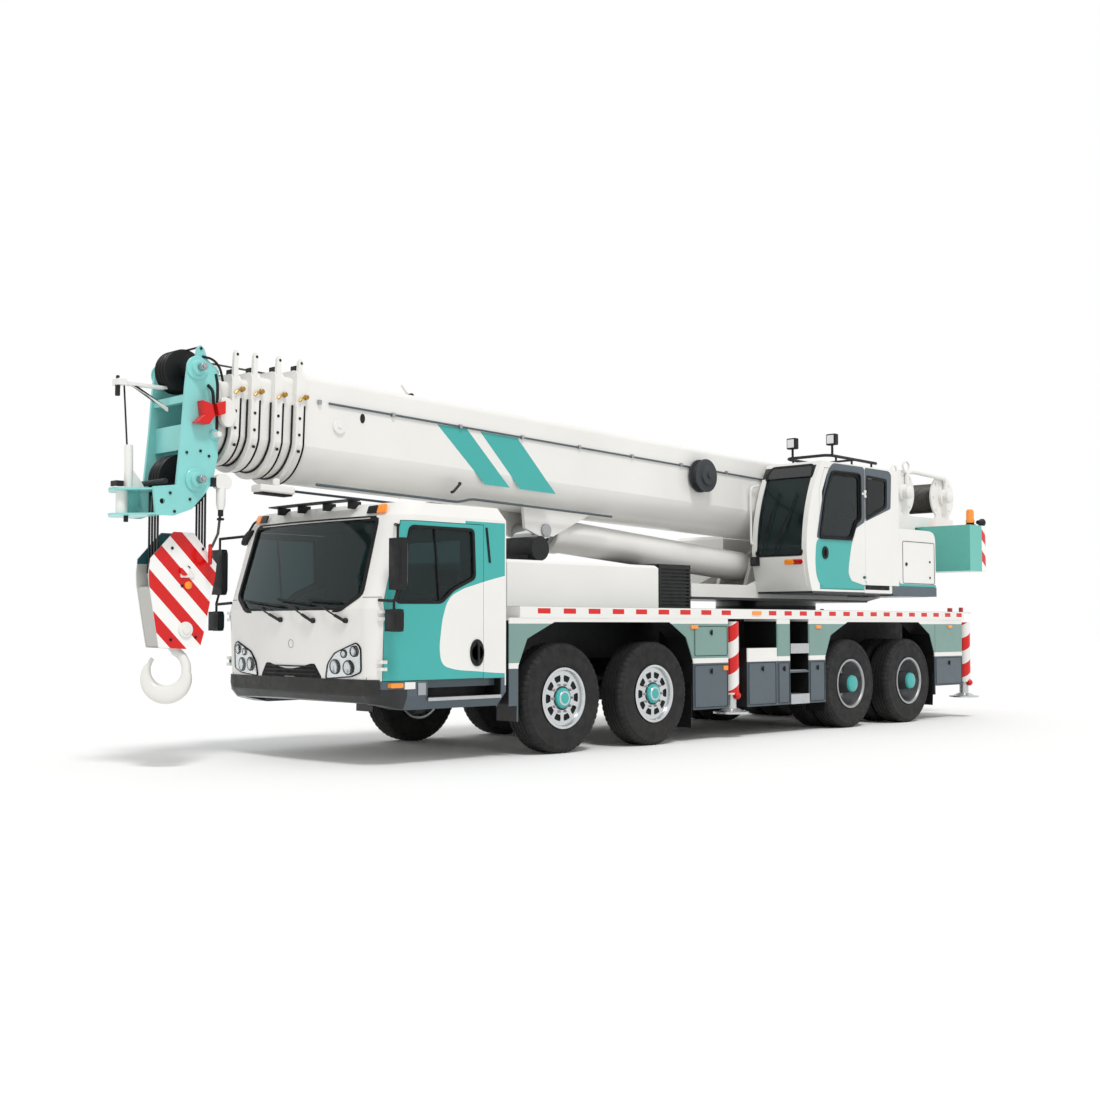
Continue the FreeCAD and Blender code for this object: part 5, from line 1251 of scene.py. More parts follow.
@dataclass
class Superstructure(Maker):
    """The operator's cab, machinery housings, counterweight and winches."""

    body = "turntable"
    side: float = 1.25
    split: float = -5.386
    window: tuple = ((-4.39, 2.304), (-4.507, 2.812), (-4.663, 3.134), (-5.282, 3.142),
                     (-5.285, 2.574), (-5.183, 2.521), (-5.079, 2.31))
    front: OperatorFront = field(default_factory=OperatorFront)

    def finishes(self) -> None:
        """Paint the turntable's CAD nodes."""
        dress("turntable_frame", Finish("turntable_paint", WHITE, zones=(
            layer(DARK, None, 1.59),), **PAINT))
        dress("op_cab_shell", Finish("operator_cab_paint", WHITE, zones=(
            Zone(BLACK, low=(-4.45, None, 3.06), high=(None, 1.20, 3.20)),
            layer("2A2E32", None, 1.665),), **PAINT))
        dress("op_cab_door", Finish("operator_door_paint", TEAL, zones=(
            layer(WHITE, 2.296),
            Zone(WHITE, high=(-5.372, None, None)),), **PAINT))
        dress("op_cab_glass", GLASS)
        dress("machinery_housing", Finish("housing_paint_banded", WHITE, zones=(
            layer(SLATE, None, 1.757),
            layer(TEAL, 1.757, 1.790),), **PAINT))
        dress("counterweight", Finish("counterweight_paint", "63B8AC", zones=(
            Zone(PALE, high=(-8.37, None, None)),
            Zone(RED, high=(-8.37, None, None), stripe=Stripe((0.6, 0.5, -0.8), 0.24, 0.5)),
        ), **PAINT))
        dress("winches", WHITE_PAINT)

    def door(self) -> None:
        """Door skin, window frame, glass, seal, handle and the white panel across its rear."""
        y = self.side
        window = closed_line(self.window, 0.06, 6)
        middle = window.mean(axis=0)
        pane = middle + (window - middle) * 0.90
        frame_edge = closed_line([(-4.337, 2.298), (-4.452, 2.746), (-4.595, 3.144),
                                  (-4.700, 3.235), (self.split, 3.235), (self.split, 2.547),
                                  (-5.182, 2.457), (-5.079, 2.298)], 0.04, 5)
        skin = closed_line([(-4.434, 1.713), (-4.329, 1.834), (-4.306, 2.032), (-4.337, 2.300),
                            (self.split, 2.300), (self.split, 1.705)], 0.09, 6)
        panel = closed_line([(self.split, 2.545), (-5.182, 2.457), (-5.122, 2.335),
                             (-5.072, 2.215), (-5.022, 2.008), (-5.006, 1.897), (-5.069, 1.804),
                             (-5.325, 1.757), (self.split, 1.756)], 0.03, 4)
        section = np.array([(-0.010, -0.020), (0.010, -0.020), (0.010, 0.020), (-0.010, 0.020)])
        seal = np.column_stack([window[:, 0], np.full(len(window), y + 0.004), window[:, 1]])
        rows = (("skin", [plate(skin, y - 0.002, y + 0.004)], TEAL_PAINT),
                ("frame", [frame_plate(frame_edge, window, y - 0.002,
                                       y + 0.006)], SLATE_PAINT),
                ("panel", [plate(panel, y, y + 0.010)], WHITE_PAINT),
                ("border", [frame_plate(window, pane, y + 0.001,
                                        y + 0.005)], BLACK_TOP),
                ("seal", [sweep(seal, section, (0, 1, 0), closed=True)], SEAL_RUBBER),
                ("window", [plate(window, y - 0.012, y - 0.007)], GLASS),
                ("handle", [plate(oval(-4.508, 2.131, 0.125, 0.155), y + 0.002, y + 0.016),
                            pipe([(-4.508, y + 0.014, 2.085), (-4.508, y + 0.026, 2.10),
                                  (-4.508, y + 0.026, 2.16), (-4.508, y + 0.014, 2.175)],
                                 0.010, 0.01, (1, 0, 0))], BLACK_PLASTIC))
        for name, shells, finish in rows:
            self.add(f"operator_door_{name}", shells, finish, "operator_door", bevel=0.0015
                     if name in ("panel", "handle") else 0.0)

    def flank(self) -> None:
        """The fixed frame round the quarter window and the white flank behind the door."""
        y = self.side
        quarter = closed_line([(-5.427, 3.144), (-5.918, 3.124), (-5.909, 2.754), (-5.415, 2.565)],
                              0.04, 5)
        middle = quarter.mean(axis=0)
        inner = middle + (quarter - middle) * 0.84
        frame_edge = closed_line([(-5.390, 3.235), (-5.951, 3.232), (-6.017, 3.190),
                                  (-5.994, 2.743), (-5.390, 2.547)], 0.03, 5)
        hole = closed_line([(-5.392, 3.233), (-5.951, 3.230), (-6.015, 3.188), (-5.992, 2.745),
                            (-5.392, 2.549)], 0.03, 5)
        flank = [(-5.391, 3.240), (-6.185, 3.240), (-6.185, 1.758), (-5.391, 1.758)]
        shells = (("flank", [frame_plate(flank, hole, y - 0.002, y + 0.008)],
                   WHITE_PAINT),
                  ("frame", [frame_plate(frame_edge, quarter, y - 0.002,
                                         y + 0.004)], SLATE_PAINT),
                  ("border", [frame_plate(quarter, inner, y - 0.001,
                                          y + 0.003)], BLACK_TOP),
                  ("glass", [plate(quarter, y - 0.012, y - 0.007)], GLASS),
                  ("recess", [block((-5.95, y - 0.001, 1.700), (-5.391, y + 0.002, 1.756))],
                   BLACK_TOP),
                  ("step", [pipe([(-5.37, y + 0.004, 1.667), (-5.985, y + 0.004, 1.667)],
                                 0.012, 0.01, (0, 1, 0))], WHITE_PAINT))
        for name, pieces, finish in shells:
            self.add(f"operator_quarter_{name}", pieces, finish)

    def windscreen(self) -> None:
        """The front's lower cover, black surround and header, wipers, lamps and rail."""
        front = self.front
        outline = closed_line([(0.517, 2.095), (1.180, 2.095), (1.180, 3.10), (1.150, 3.20),
                               (0.547, 3.20), (0.517, 3.10)], 0.04, 6)
        self.add("operator_front_cover", [front.panel((0.49, 1.20), (1.72, 2.085), -0.002, 0.006)],
                 WHITE_PAINT)
        self.add("operator_front_surround", [front.band(outline, 0.030, -0.004, 0.006)], BLACK_TOP)
        self.add("operator_front_header", [front.panel((0.525, 1.172), (3.055, 3.195), 0.001,
                                                       0.004)], Finish("black_glass_border",
                                                                       "0C0E0F",
                                                                       slot="black_plastic",
                                                                       rough=0.08, coat=0.6,
                                                                       shade=0.0))
        arms = []
        for y0, y1 in ((0.62, 0.72), (0.80, 0.98)):
            s, z = np.linspace(y0, y1, 10), np.linspace(2.12, 2.62, 10)
            arms.append(sweep(front.place(s, z, 0.028), circle(0.007, 8), (0, 1, 0)))
            s, z = np.linspace(y1 - 0.04, y1 + 0.05, 10), np.linspace(2.36, 2.86, 10)
            arms.append(sweep(front.place(s, z, 0.014), circle(0.008, 8), (0, 1, 0)))
        self.add("operator_wipers", arms, SEAL_RUBBER)
        capsule = closed_line([(0.93, 1.985), (1.19, 1.985), (1.19, 2.045), (0.93, 2.045)], 0.028,
                              6)
        lamp = [(max(y, 1.06), z) for y, z in capsule]
        self.add("operator_front_lamp", [front.badge(capsule, 0, 0.018, 0.004)], AMBER)
        self.add("operator_front_lamp_end", [front.badge(lamp, 0, 0.020, 0.004)], RED_LENS)
        self.add("operator_square_lamp", [block((-4.14, 0.45, 1.98), (-4.08, 0.56, 2.09))],
                 BLACK_PLASTIC, bevel=0.008)
        self.add("operator_square_lens", [block((-4.084, 0.46, 1.99), (-4.077, 0.55, 2.08))], LENS,
                 bevel=0.002)
        rail = [pipe([(-4.13, 0.462, 2.25), (-4.10, 0.455, 2.25), (-4.10, 0.455, 2.95),
                      (-4.25, 0.462, 2.98)], 0.014, 0.06, (0, 1, 0))]
        self.add("operator_front_rail", rail, WHITE_PAINT)

    def roof(self) -> None:
        """Roof rails and work lamps, the seat inside, and the grab pipe behind."""
        top = 3.352
        bars = [pipe([(-5.86, 1.13, top - 0.02), (-4.86, 1.13, top), (-4.78, 1.08, top),
                      (-4.78, 0.54, top), (-4.86, 0.49, top), (-5.86, 0.49, top - 0.02)],
                     0.019, 0.05, (0, 0, 1))]
        for x in (-5.75, -5.30, -4.95):
            for y in (1.13, 0.49):
                bars.append(pipe([(x, y, 3.245), (x, y, top - 0.01)], 0.014, 0.01, (0, 1, 0)))
        bars.append(pipe([(-5.40, 0.49, top - 0.01), (-5.40, 1.13, top - 0.01)], 0.014, 0.01))
        self.add("operator_roof_rack", bars, BLACK_PAINT)
        lamps, faces = [], []
        for y in (0.56, 1.15):
            lamps.append(block((-4.88, y - 0.068, 3.475), (-4.80, y + 0.068, 3.615)))
            lamps.append(block((-4.855, y - 0.014, 3.355), (-4.825, y + 0.014, 3.48)))
            faces.append(block((-4.802, y - 0.050, 3.493), (-4.794, y + 0.050, 3.597)))
        self.add("work_lamps", lamps, BLACK_PLASTIC, bevel=0.012)
        self.add("work_lamp_faces", faces, REFLECTOR, bevel=0.002)
        grab = [pipe([(-6.10, 1.20, 3.24), (-6.16, 1.20, 3.34), (-6.24, 1.20, 3.30),
                      (-6.25, 1.20, 2.60), (-6.20, 1.20, 2.56)], 0.016, 0.05, (0, 1, 0))]
        self.add("operator_grab_pipe", grab, WHITE_PAINT)
        seat = [cushion((-5.50, 0.64, 2.0203), (-5.02, 1.06, 2.15)),
                cushion((-5.56, 0.65, 2.13), (-5.43, 1.05, 2.62), 0.10),
                cushion((-5.66, 0.74, 2.62), (-5.56, 0.96, 2.83))]
        piece = self.add("operator_seat", seat, SEAT_CLOTH, subdivide=1, smooth=80,
                         replaces=("op_cab_seat",))

    def housing(self) -> None:
        """The housing's cover flush with the cab, its service door, lock and hinges."""
        y, inner = self.side + 0.0055, 1.051
        top = closed_line([(-6.19, 1.790), (-7.098, 1.790), (-7.098, 2.40), (-7.055, 2.480),
                           (-6.95, 2.504), (-6.19, 2.504)], 0.05, 5)
        for name, shell, finish in (
                ("cover", plate(top, inner, y), WHITE_PAINT),
                ("line", block((-7.10, inner, 1.758), (-6.19, y, 1.791)), TEAL_PAINT),
                ("band", block((-7.105, inner, 1.634), (-6.02, y + 0.006, 1.757)),
                 SLATE_PAINT)):
            self.add(f"housing_{name}", [shell], finish, bevel=0.004)
        line = closed_line([(-7.060, y + 0.001, 1.800), (-6.270, y + 0.001, 1.800),
                            (-6.270, y + 0.001, 2.345), (-7.060, y + 0.001, 2.345)], 0.03, 4)
        thin = np.array([(-0.0035, -0.003), (0.0035, -0.003), (0.0035, 0.003),
                         (-0.0035, 0.003)])
        self.add("housing_door_seam", [sweep(line, thin, (0, 1, 0), closed=True)], GREY_PLASTIC)
        fittings = [drum(0.024, y, y + 0.012, (-6.354, 0, 2.048), steps=20)]
        for z in (2.092, 1.883):
            fittings.append(drum(0.014, y, y + 0.014, (-6.94, 0, z), steps=14))
        self.add("housing_fittings", fittings, BLACK_PLASTIC)

    def rear(self) -> None:
        """Beacon, horn, rails, winch rope and motors."""
        rope = []
        for x in (-7.70, -8.808):
            turns = 26
            turn = np.linspace(0, 2 * math.pi * turns, turns * 20)
            path = np.stack([x + 0.203 * np.cos(turn),
                             np.linspace(-0.355, 0.355, len(turn)),
                             3.125 + 0.203 * np.sin(turn)], axis=-1)
            rope.append(sweep(path, circle(0.013, 5), (0, 1, 0)))
        self.add("winch_rope", rope, ROPE_STEEL)
        motors = []
        for x in (-7.70, -8.808):
            motors.append(revolve([(0, 0.40), (0.12, 0.40), (0.12, 0.44), (0.09, 0.45),
                                   (0.09, 0.53), (0.05, 0.55), (0, 0.55)], (x, 0, 3.125)))
            for turn in np.linspace(0, 2 * math.pi, 8, endpoint=False):
                motors.append(drum(0.014, 0.40, 0.416, (x + 0.26 * math.cos(turn), 0,
                                                        3.125 + 0.26 * math.sin(turn)),
                                   steps=10))
        self.add("winch_motors", motors, WHITE_PAINT)
        beacon = revolve([(0, 2.70), (0.062, 2.70), (0.062, 2.74), (0.055, 2.75),
                          (0.055, 2.86), (0.040, 2.89), (0, 2.895)], (-8.42, 1.05, 0),
                         Axis.Z, 24)
        self.add("beacon", [beacon], AMBER)
        self.add("beacon_foot", [drum(0.075, 2.648, 2.678, (-8.42, 1.05, 0), Axis.Z),
                                   drum(0.055, 2.676, 2.702, (-8.42, 1.05, 0), Axis.Z)],
                   BLACK_PLASTIC)
        horn = revolve([(0, 0), (0.03, 0), (0.03, 0.04), (0.055, 0.10), (0.058, 0.12),
                        (0, 0.11)], (0, 0, 0), Axis.X, 20).turned(Axis.Z, math.pi)
        self.add("horn", [horn.moved(-8.38, 1.19, 2.70)], BLACK_PLASTIC)
        rails = []
        for y in (0.43, -0.43):
            rails.append(pipe([(-7.78, y, 3.05), (-7.78, y, 3.42), (-7.95, y, 3.44),
                               (-8.84, y, 3.40), (-8.84, y, 3.05)], 0.032, 0.09, (0, 1, 0)))
            rails.append(pipe([(-7.76, y, 3.40), (-7.68, y, 3.47), (-7.68, y, 3.54),
                               (-7.76, y, 3.58), (-7.84, y, 3.54), (-7.84, y, 3.47)],
                              0.016, 0.04, (0, 1, 0), closed=True))
        rails.append(pipe([(-7.95, -0.43, 3.44), (-7.95, 0.43, 3.44)], 0.022, 0.01))
        self.add("winch_guard_rails", rails, WHITE_PAINT)

    def build(self) -> None:
        """Make everything on the turntable."""
        self.finishes()
        self.door()
        self.flank()
        self.windscreen()
        self.roof()
        self.housing()
        self.rear()


@dataclass
class Boom(Maker):
    """The telescopic boom, its collars and its head."""

    body = "boom_head"
    fronts: tuple = (9.52, 9.725, 9.945, 10.12)
    half: float = 0.40
    step: float = 0.038
    bodies: tuple = ("boom_base", "boom_section_2", "boom_section_3", "boom_section_4",
                     "boom_head")
    rope_height: float = 0.548

    def lay(self, name: str, shells: list[Shell], finish: Finish, body: str = "boom_base",
            **looks: object) -> None:
        """Make a piece from shells in the boom's own coordinates."""
        self.add(name, [along_boom(shell) for shell in shells], finish, body, **looks)

    def finishes(self) -> None:
        """Paint the boom's CAD nodes."""
        dress("boom_base", WHITE_PAINT)
        for level in (2, 3, 4):
            dress(f"boom_section_{level}", WHITE_PAINT)
        dress("boom_section_5", Finish("boom_head_paint", HEAD_TEAL, rough=0.38, coat=0.3,
                                       shade=0.05, shade_size=250, grain_size=8.0,
                                       grain_depth=0.05, zones=(
            Zone(WHITE, high=(3.325, None, None)),
            Zone(WHITE, low=(4.005, None, 2.20), high=(None, None, 2.393)),)))
        dress("sheaves", CAST_BLACK)
        dress("lift_barrel", WHITE_PAINT)
        dress("lift_rod", CHROME)

    def sides(self) -> None:
        """Colour bands, hose rails, reel, hand grips and lamp on the base section."""
        y = self.half
        bands = [plate([(7.833, 0.268), (7.443, 0.274), (6.830, -0.262), (7.175, -0.263)],
                       y - 0.001, y + 0.0012),
                 plate([(7.26, 0.268), (6.736, 0.268), (6.153, -0.262), (6.677, -0.262)],
                       y - 0.001, y + 0.0012)]
        self.lay("boom_colour_bands", both(bands), TEAL_PAINT)
        rails, clips = [], []
        rails.append(pipe([(9.15, y + 0.012, 0.285), (0.9, y + 0.012, 0.268)], 0.010, 0.01,
                          (0, 1, 0)))
        rails.append(pipe([(9.20, y - 0.075, -0.465), (7.46, y - 0.075, -0.465),
                           (7.30, y - 0.06, -0.42), (5.20, y - 0.06, -0.42)], 0.013, 0.06,
                          (0, 1, 0)))
        for x in np.arange(1.5, 9.3, 0.86):
            clips.append(block((x, y - 0.002, 0.262), (x + 0.035, y + 0.028, 0.302)))
        self.lay("boom_hose_rails", both(rails), SLATE_PAINT)
        self.lay("boom_rail_clips", both(clips), BARE_STEEL, bevel=0.003)
        reel = [revolve([(0.03, 0.402), (0.150, 0.402), (0.150, 0.425), (0.195, 0.428),
                         (0.195, 0.445), (0.155, 0.448), (0.150, 0.520), (0.195, 0.523),
                         (0.195, 0.540), (0.120, 0.548), (0.110, 0.575), (0.03, 0.580)],
                        (3.774, 0, 0.179), steps=40, loop=True),
                drum(0.035, 0.40, 0.60, (3.774, 0, 0.179), steps=20)]
        self.lay("cable_reel", reel, GREY_PLASTIC)
        cap = [drum(0.068, y - 0.004, y + 0.022, (9.025, 0, 0.085), steps=28),
               drum(0.020, y + 0.02, y + 0.03, (9.025, 0, 0.085), steps=14)]
        self.lay("boom_side_cap", both(cap), WHITE_PAINT)
        dark = [plate(oval(8.753, 0.20, 0.055, 0.09), y - 0.002, y + 0.004),
                along_handle((7.622, -0.385), (7.525, -0.288), y + 0.025)]
        self.lay("boom_grip_and_port", both(dark), BLACK_PLASTIC)
        lamp = [block((9.43, 0.165, -0.585), (9.80, 0.335, -0.515)),
                block((9.55, 0.23, -0.52), (9.62, 0.27, -0.44))]
        self.lay("boom_work_lamp", lamp, WHITE_PAINT, bevel=0.02)
        lens = [block((9.45, 0.180, -0.600), (9.78, 0.320, -0.583))]
        self.lay("boom_work_lamp_lens", lens, BLACK_PLASTIC, bevel=0.006)
        guide = [pipe([(7.79, 0, 0.50), (7.89, 0, 0.60), (7.975, 0, 0.685)], 0.012, 0.03,
                      (0, 1, 0)),
                 pipe([(7.90, 0, 0.60), (8.06, 0, 0.575)], 0.010, 0.01, (0, 1, 0)),
                 block((7.74, -0.05, 0.51), (7.84, 0.05, 0.53))]
        self.lay("rope_guide", guide, WHITE_PAINT)
        roller = [drum(0.032, -0.045, 0.045, (7.87, 0, 0.582), steps=20)]
        self.lay("rope_guide_roller", roller, CAST_BLACK)

    def mouth(self, level: int, gap: float, rear: float, front: float,
              thick: float) -> Shell:
        """A strap of rectangular section round a section's sides and belly.

        The belly is the circle through the two lower ends of the sides and the lowest
        point of the section; the strap stands off that outline by gap.
        """
        half = self.half - self.step * level
        floor = -0.45 + self.step * level
        shoulder = floor + 0.78 * half
        arc = arc_through((half, shoulder), (0.0, floor), (-half, shoulder), 61)
        line = np.vstack([[(half, 0.22)], arc, [(-half, 0.22)]])
        run = np.gradient(line, axis=0)
        run[0] = run[1] = line[1] - line[0]
        run[-1] = run[-2] = line[-1] - line[-2]
        run = run / np.linalg.norm(run, axis=1, keepdims=True)
        out = np.stack([-run[:, 1], run[:, 0]], axis=-1)
        if out[0, 0] < 0:
            out = -out
        low, high = line + out * gap, line + out * (gap + thick)
        rows = [np.column_stack([np.full(len(line), x), flat])
                for x, flat in ((rear, low), (front, low), (front, high), (rear, high))]
        return grid(np.stack(rows, axis=1), wrap_v=True, cap=True)

    def collars(self) -> None:
        """Rope, brass fittings, bolts and slide pads at each section's mouth."""
        for index, body in enumerate(self.bodies):
            front = self.fronts[index] if index < 4 else 10.30
            rear = 0.35 + 0.06 * index
            rope = sweep(np.array([(x, 0.0, self.rope_height)
                                   for x in np.linspace(rear, front, 8)]),
                         circle(0.010 - 0.0004 * index, 8), (0, 1, 0))
            self.lay(f"hoist_rope_{index + 1}", [rope], ROPE_STEEL, body)
            if index == 4:
                continue
            y = self.half - self.step * index
            fittings = [drum(0.021, y - 0.02, y + 0.055, (front - 0.10, 0, 0.300), steps=18),
                        drum(0.027, y + 0.010, y + 0.028, (front - 0.10, 0, 0.300), steps=6),
                        pipe([(front - 0.10, y + 0.04, 0.30), (front - 0.05, y + 0.045, 0.285),
                              (front - 0.02, y + 0.045, 0.25)], 0.010, 0.02, (0, 1, 0))]
            self.lay(f"collar_fittings_{index + 1}", both(fittings), BRASS, body)
            pads = [block((front - 0.075, y - 0.10, 0.545 - 0.038 * index),
                          (front - 0.01, y - 0.02, 0.585 - 0.038 * index))]
            for z in (-0.20, -0.05, 0.10):
                pads.append(drum(0.014, y + 0.010, y + 0.030, (front - 0.045, 0, z), steps=12))
            self.lay(f"collar_bolts_{index + 1}", both(pads), CAST_BLACK, body)
            steel = [drum(0.016, y - 0.010, y + 0.024, (front - 0.045, 0, 0.605), steps=14)]
            self.lay(f"collar_lug_pins_{index + 1}", both(steel), CAST_BLACK, body)
            # A black seal round the next section at the collar's mouth; its dark band is also
            # painted shade for the gap there.
            seal = self.mouth(index + 1, 0.0065, front - 0.004, front + 0.014, 0.012)
            self.lay(f"collar_seal_{index + 1}", [seal], SEAL_RUBBER, body)
            rear = self.mouth(index, 0.021, front - 0.102, front - 0.084, 0.004)
            self.lay(f"collar_shadow_gap_{index + 1}", [rear], BLACK_TOP, body)
            flange = self.mouth(index, 0.020, front - 0.022, front + 0.002, 0.016)
            self.lay(f"collar_flange_{index + 1}", [flange], WHITE_PAINT, body, bevel=0.003)

    def head(self) -> None:
        """Bosses, pins, clamps, mast, rope socket and rollers on the boom head."""
        bosses, pins = [], []
        for x, z in ((3.547, 3.469), (3.545, 2.500)):
            bosses.append(revolve([(0, 0.288), (0.104, 0.288), (0.104, 0.304), (0.098, 0.309),
                                   (0.074, 0.311), (0.068, 0.318), (0.066, 0.345),
                                   (0.060, 0.352), (0, 0.353)], (x, 0, z)))
            pins.append(drum(0.034, 0.345, 0.420, (x, 0, z), steps=8))
            pins.append(drum(0.022, 0.415, 0.436, (x, 0, z), steps=6))
        bosses.append(revolve([(0, 0.288), (0.055, 0.288), (0.045, 0.305), (0, 0.306)],
                              (3.365, 0, 2.905)))
        self.add("head_bosses", both(bosses), HEAD_PAINT)
        self.add("head_pins", both(pins), BARE_STEEL)
        stub = [drum(0.026, 0.30, 0.375, (3.365, 0, 2.905), steps=16)]
        disc = plate(closed_line([(3.335, 3.230), (3.335, 3.030), (3.280, 2.975), (3.215, 2.99),
                                  (3.180, 3.10), (3.215, 3.21), (3.275, 3.245)], 0.03, 4), 0.292,
                     0.345)
        self.add("head_rope_anchor", both(stub) + [disc], WHITE_PAINT, bevel=0.004)
        clamp = [plate([(3.545, 3.185), (3.442, 3.160), (3.415, 3.06), (3.469, 2.980),
                        (3.600, 2.984), (3.528, 3.055)], 0.292, 0.385),
                 plate([(3.412, 3.165), (3.320, 3.200), (3.320, 3.085), (3.387, 3.062)],
                       0.292, 0.400)]
        self.add("head_red_clamps", clamp, RED_PAINT, bevel=0.008)
        bolts = [drum(0.013, 0.289, 0.302, (x, 0, z), steps=10)
                 for x, z in ((3.637, 2.73), (3.504, 2.754), (3.42, 2.716), (3.79, 2.373),
                              (3.747, 2.218), (3.51, 3.645), (3.62, 3.42), (3.60, 2.33))]
        bolts.append(pipe([(3.35, 0.25, 2.72), (3.345, 0.275, 2.95), (3.34, 0.275, 3.35),
                           (3.36, 0.275, 3.44)], 0.022, 0.05, (0, 1, 0)))
        self.add("head_bolts_and_hoses", both(bolts), BLACK_PLASTIC)
        hose = [pipe([(3.50, 0.300, 3.575), (3.40, 0.305, 3.565), (3.33, 0.31, 3.50),
                      (3.30, 0.31, 3.38)], 0.011, 0.06, (0, 1, 0)),
                pipe([(3.44, 0.30, 3.33), (3.43, 0.36, 3.28), (3.42, 0.36, 3.16)], 0.014,
                     0.04, (0, 1, 0))]
        self.add("head_cable", hose, SEAL_RUBBER)
        guard = [pipe([(3.51, -0.262, 3.660), (3.51, 0.262, 3.660)], 0.009, 0.01),
                 drum(0.024, -0.262, 0.262, (3.815, 0, 2.475), steps=18)]
        self.add("head_rope_guards", guard, BLACK_PAINT)
        mast = [sweep(np.array([(4.005, -0.03, 2.41), (4.000, -0.03, 2.60),
                                (4.005, -0.03, 2.79)]), circle(0.036, 14), (0, 1, 0)),
                plate([(3.98, 2.41), (3.84, 2.41), (3.89, 2.49), (3.985, 2.60)], -0.042,
                      -0.018),
                plate([(4.125, 3.30), (4.125, 3.33), (3.66, 3.33), (3.66, 3.305),
                       (3.96, 3.300)], -0.065, -0.045),
                plate([(4.125, 3.30), (4.125, 3.33), (3.66, 3.33), (3.66, 3.305),
                       (3.96, 3.300)], -0.015, 0.005),
                plate([(3.98, 3.305), (3.95, 3.305), (3.640, 3.115), (3.640, 3.150)], -0.045,
                      -0.015),
                block((4.06, -0.09, 3.29), (4.135, 0.03, 3.345)),
                block((4.05, -0.085, 2.412), (4.155, 0.025, 2.425))]
        self.add("head_mast", mast, WHITE_PAINT, bevel=0.003)
        rod = [sweep(np.array([(4.02, -0.03, 2.78), (4.055, -0.03, 3.30)]), circle(0.008, 8),
                     (0, 1, 0)),
               drum(0.022, 3.20, 3.30, (4.115, -0.03, 0), Axis.Z, steps=8),
               drum(0.016, 3.34, 3.375, (4.115, -0.03, 0), Axis.Z, steps=8),
               block((4.07, -0.08, 2.43), (4.14, 0.02, 2.475)),
               drum(0.020, 2.13, 2.185, (4.02, -0.03, 0), Axis.Z, steps=10)]
        self.add("head_mast_rod", rod, BLACK_PAINT)
        socket = [plate(closed_line([(3.22, 2.44), (3.36, 2.44), (3.36, 2.55), (3.27, 2.58),
                                     (3.20, 2.52)], 0.03, 4), y0, y1) for y0,
                  y1 in ((0.255, 0.268), (0.312, 0.325))]
        socket.append(revolve([(0, 2.255), (0.028, 2.255), (0.040, 2.30), (0.042, 2.44),
                               (0.030, 2.50), (0, 2.50)], (3.295, 0.29, 0), Axis.Z, 20))
        self.add("rope_socket", socket, WHITE_PAINT, bevel=0.003)
        ferrule = [drum(0.024, 2.20, 2.258, (3.295, 0.29, 0), Axis.Z, steps=16),
                   drum(0.032, 2.165, 2.185, (3.295, 0.29, 0), Axis.Z, steps=16),
                   block((3.30, 0.262, 2.455), (3.40, 0.318, 2.53))]
        self.add("rope_socket_ferrule", ferrule, CAST_BLACK)
        weight_rope = sweep(np.array([(3.296, 0.29, 2.24), (3.30, 0.26, 2.05),
                                      (3.345, 0.235, 1.93)]), circle(0.012, 8), (0, 1, 0))
        self.add("switch_weight_rope", [weight_rope], ROPE_STEEL, "hook_block")
        turn = np.linspace(0, 2 * math.pi, 24, endpoint=False)
        loop = np.stack([3.335 + 0.03 * np.cos(turn), 0.195 + 0.05 * np.cos(turn),
                         1.87 + 0.075 * np.sin(turn)], axis=-1)
        self.add("switch_weight", [sweep(loop, circle(0.018, 10), (0.3, 1, 0), closed=True)],
                 RED_PAINT, "hook_block")

    def cylinder(self) -> None:
        """Gland and pin caps of the lift cylinder."""
        base, eye = np.array([-4.5, 0, 1.99]), np.array([-0.75, 0, 2.27])
        way = (eye - base) / np.linalg.norm(eye - base)
        tilt = math.atan2(way[2], way[0])
        mouth = 3.5304
        collar = revolve([(0.142, mouth - 0.16), (0.200, mouth - 0.16), (0.204, mouth - 0.14),
                          (0.204, mouth - 0.01), (0.195, mouth + 0.002), (0.142, mouth + 0.002)],
                         (0, 0, 0), Axis.X, 36, loop=True).turned(Axis.Y, -tilt).moved(*base)
        self.add("lift_cylinder_gland", [collar], WHITE_PAINT, "lift_barrel")
        caps = [drum(0.070, 0.18, 0.262, (-0.75, 0, 2.27), steps=24)]
        self.add("lift_eye_caps", both(caps), BARE_STEEL, "boom_base", bevel=0.003)

    def build(self) -> None:
        """Make everything on the boom."""
        self.finishes()
        self.sides()
        self.collars()
        self.head()
        self.cylinder()


def along_handle(start: tuple, end: tuple, y: float) -> Shell:
    """A stubby grip between two (x, z) points at a distance y from the middle."""
    return pipe([(start[0], y - 0.025, start[1]), (start[0], y, start[1]),
                 (end[0], y, end[1]), (end[0], y - 0.025, end[1])], 0.014, 0.015, (0.3, 0.2, 1))


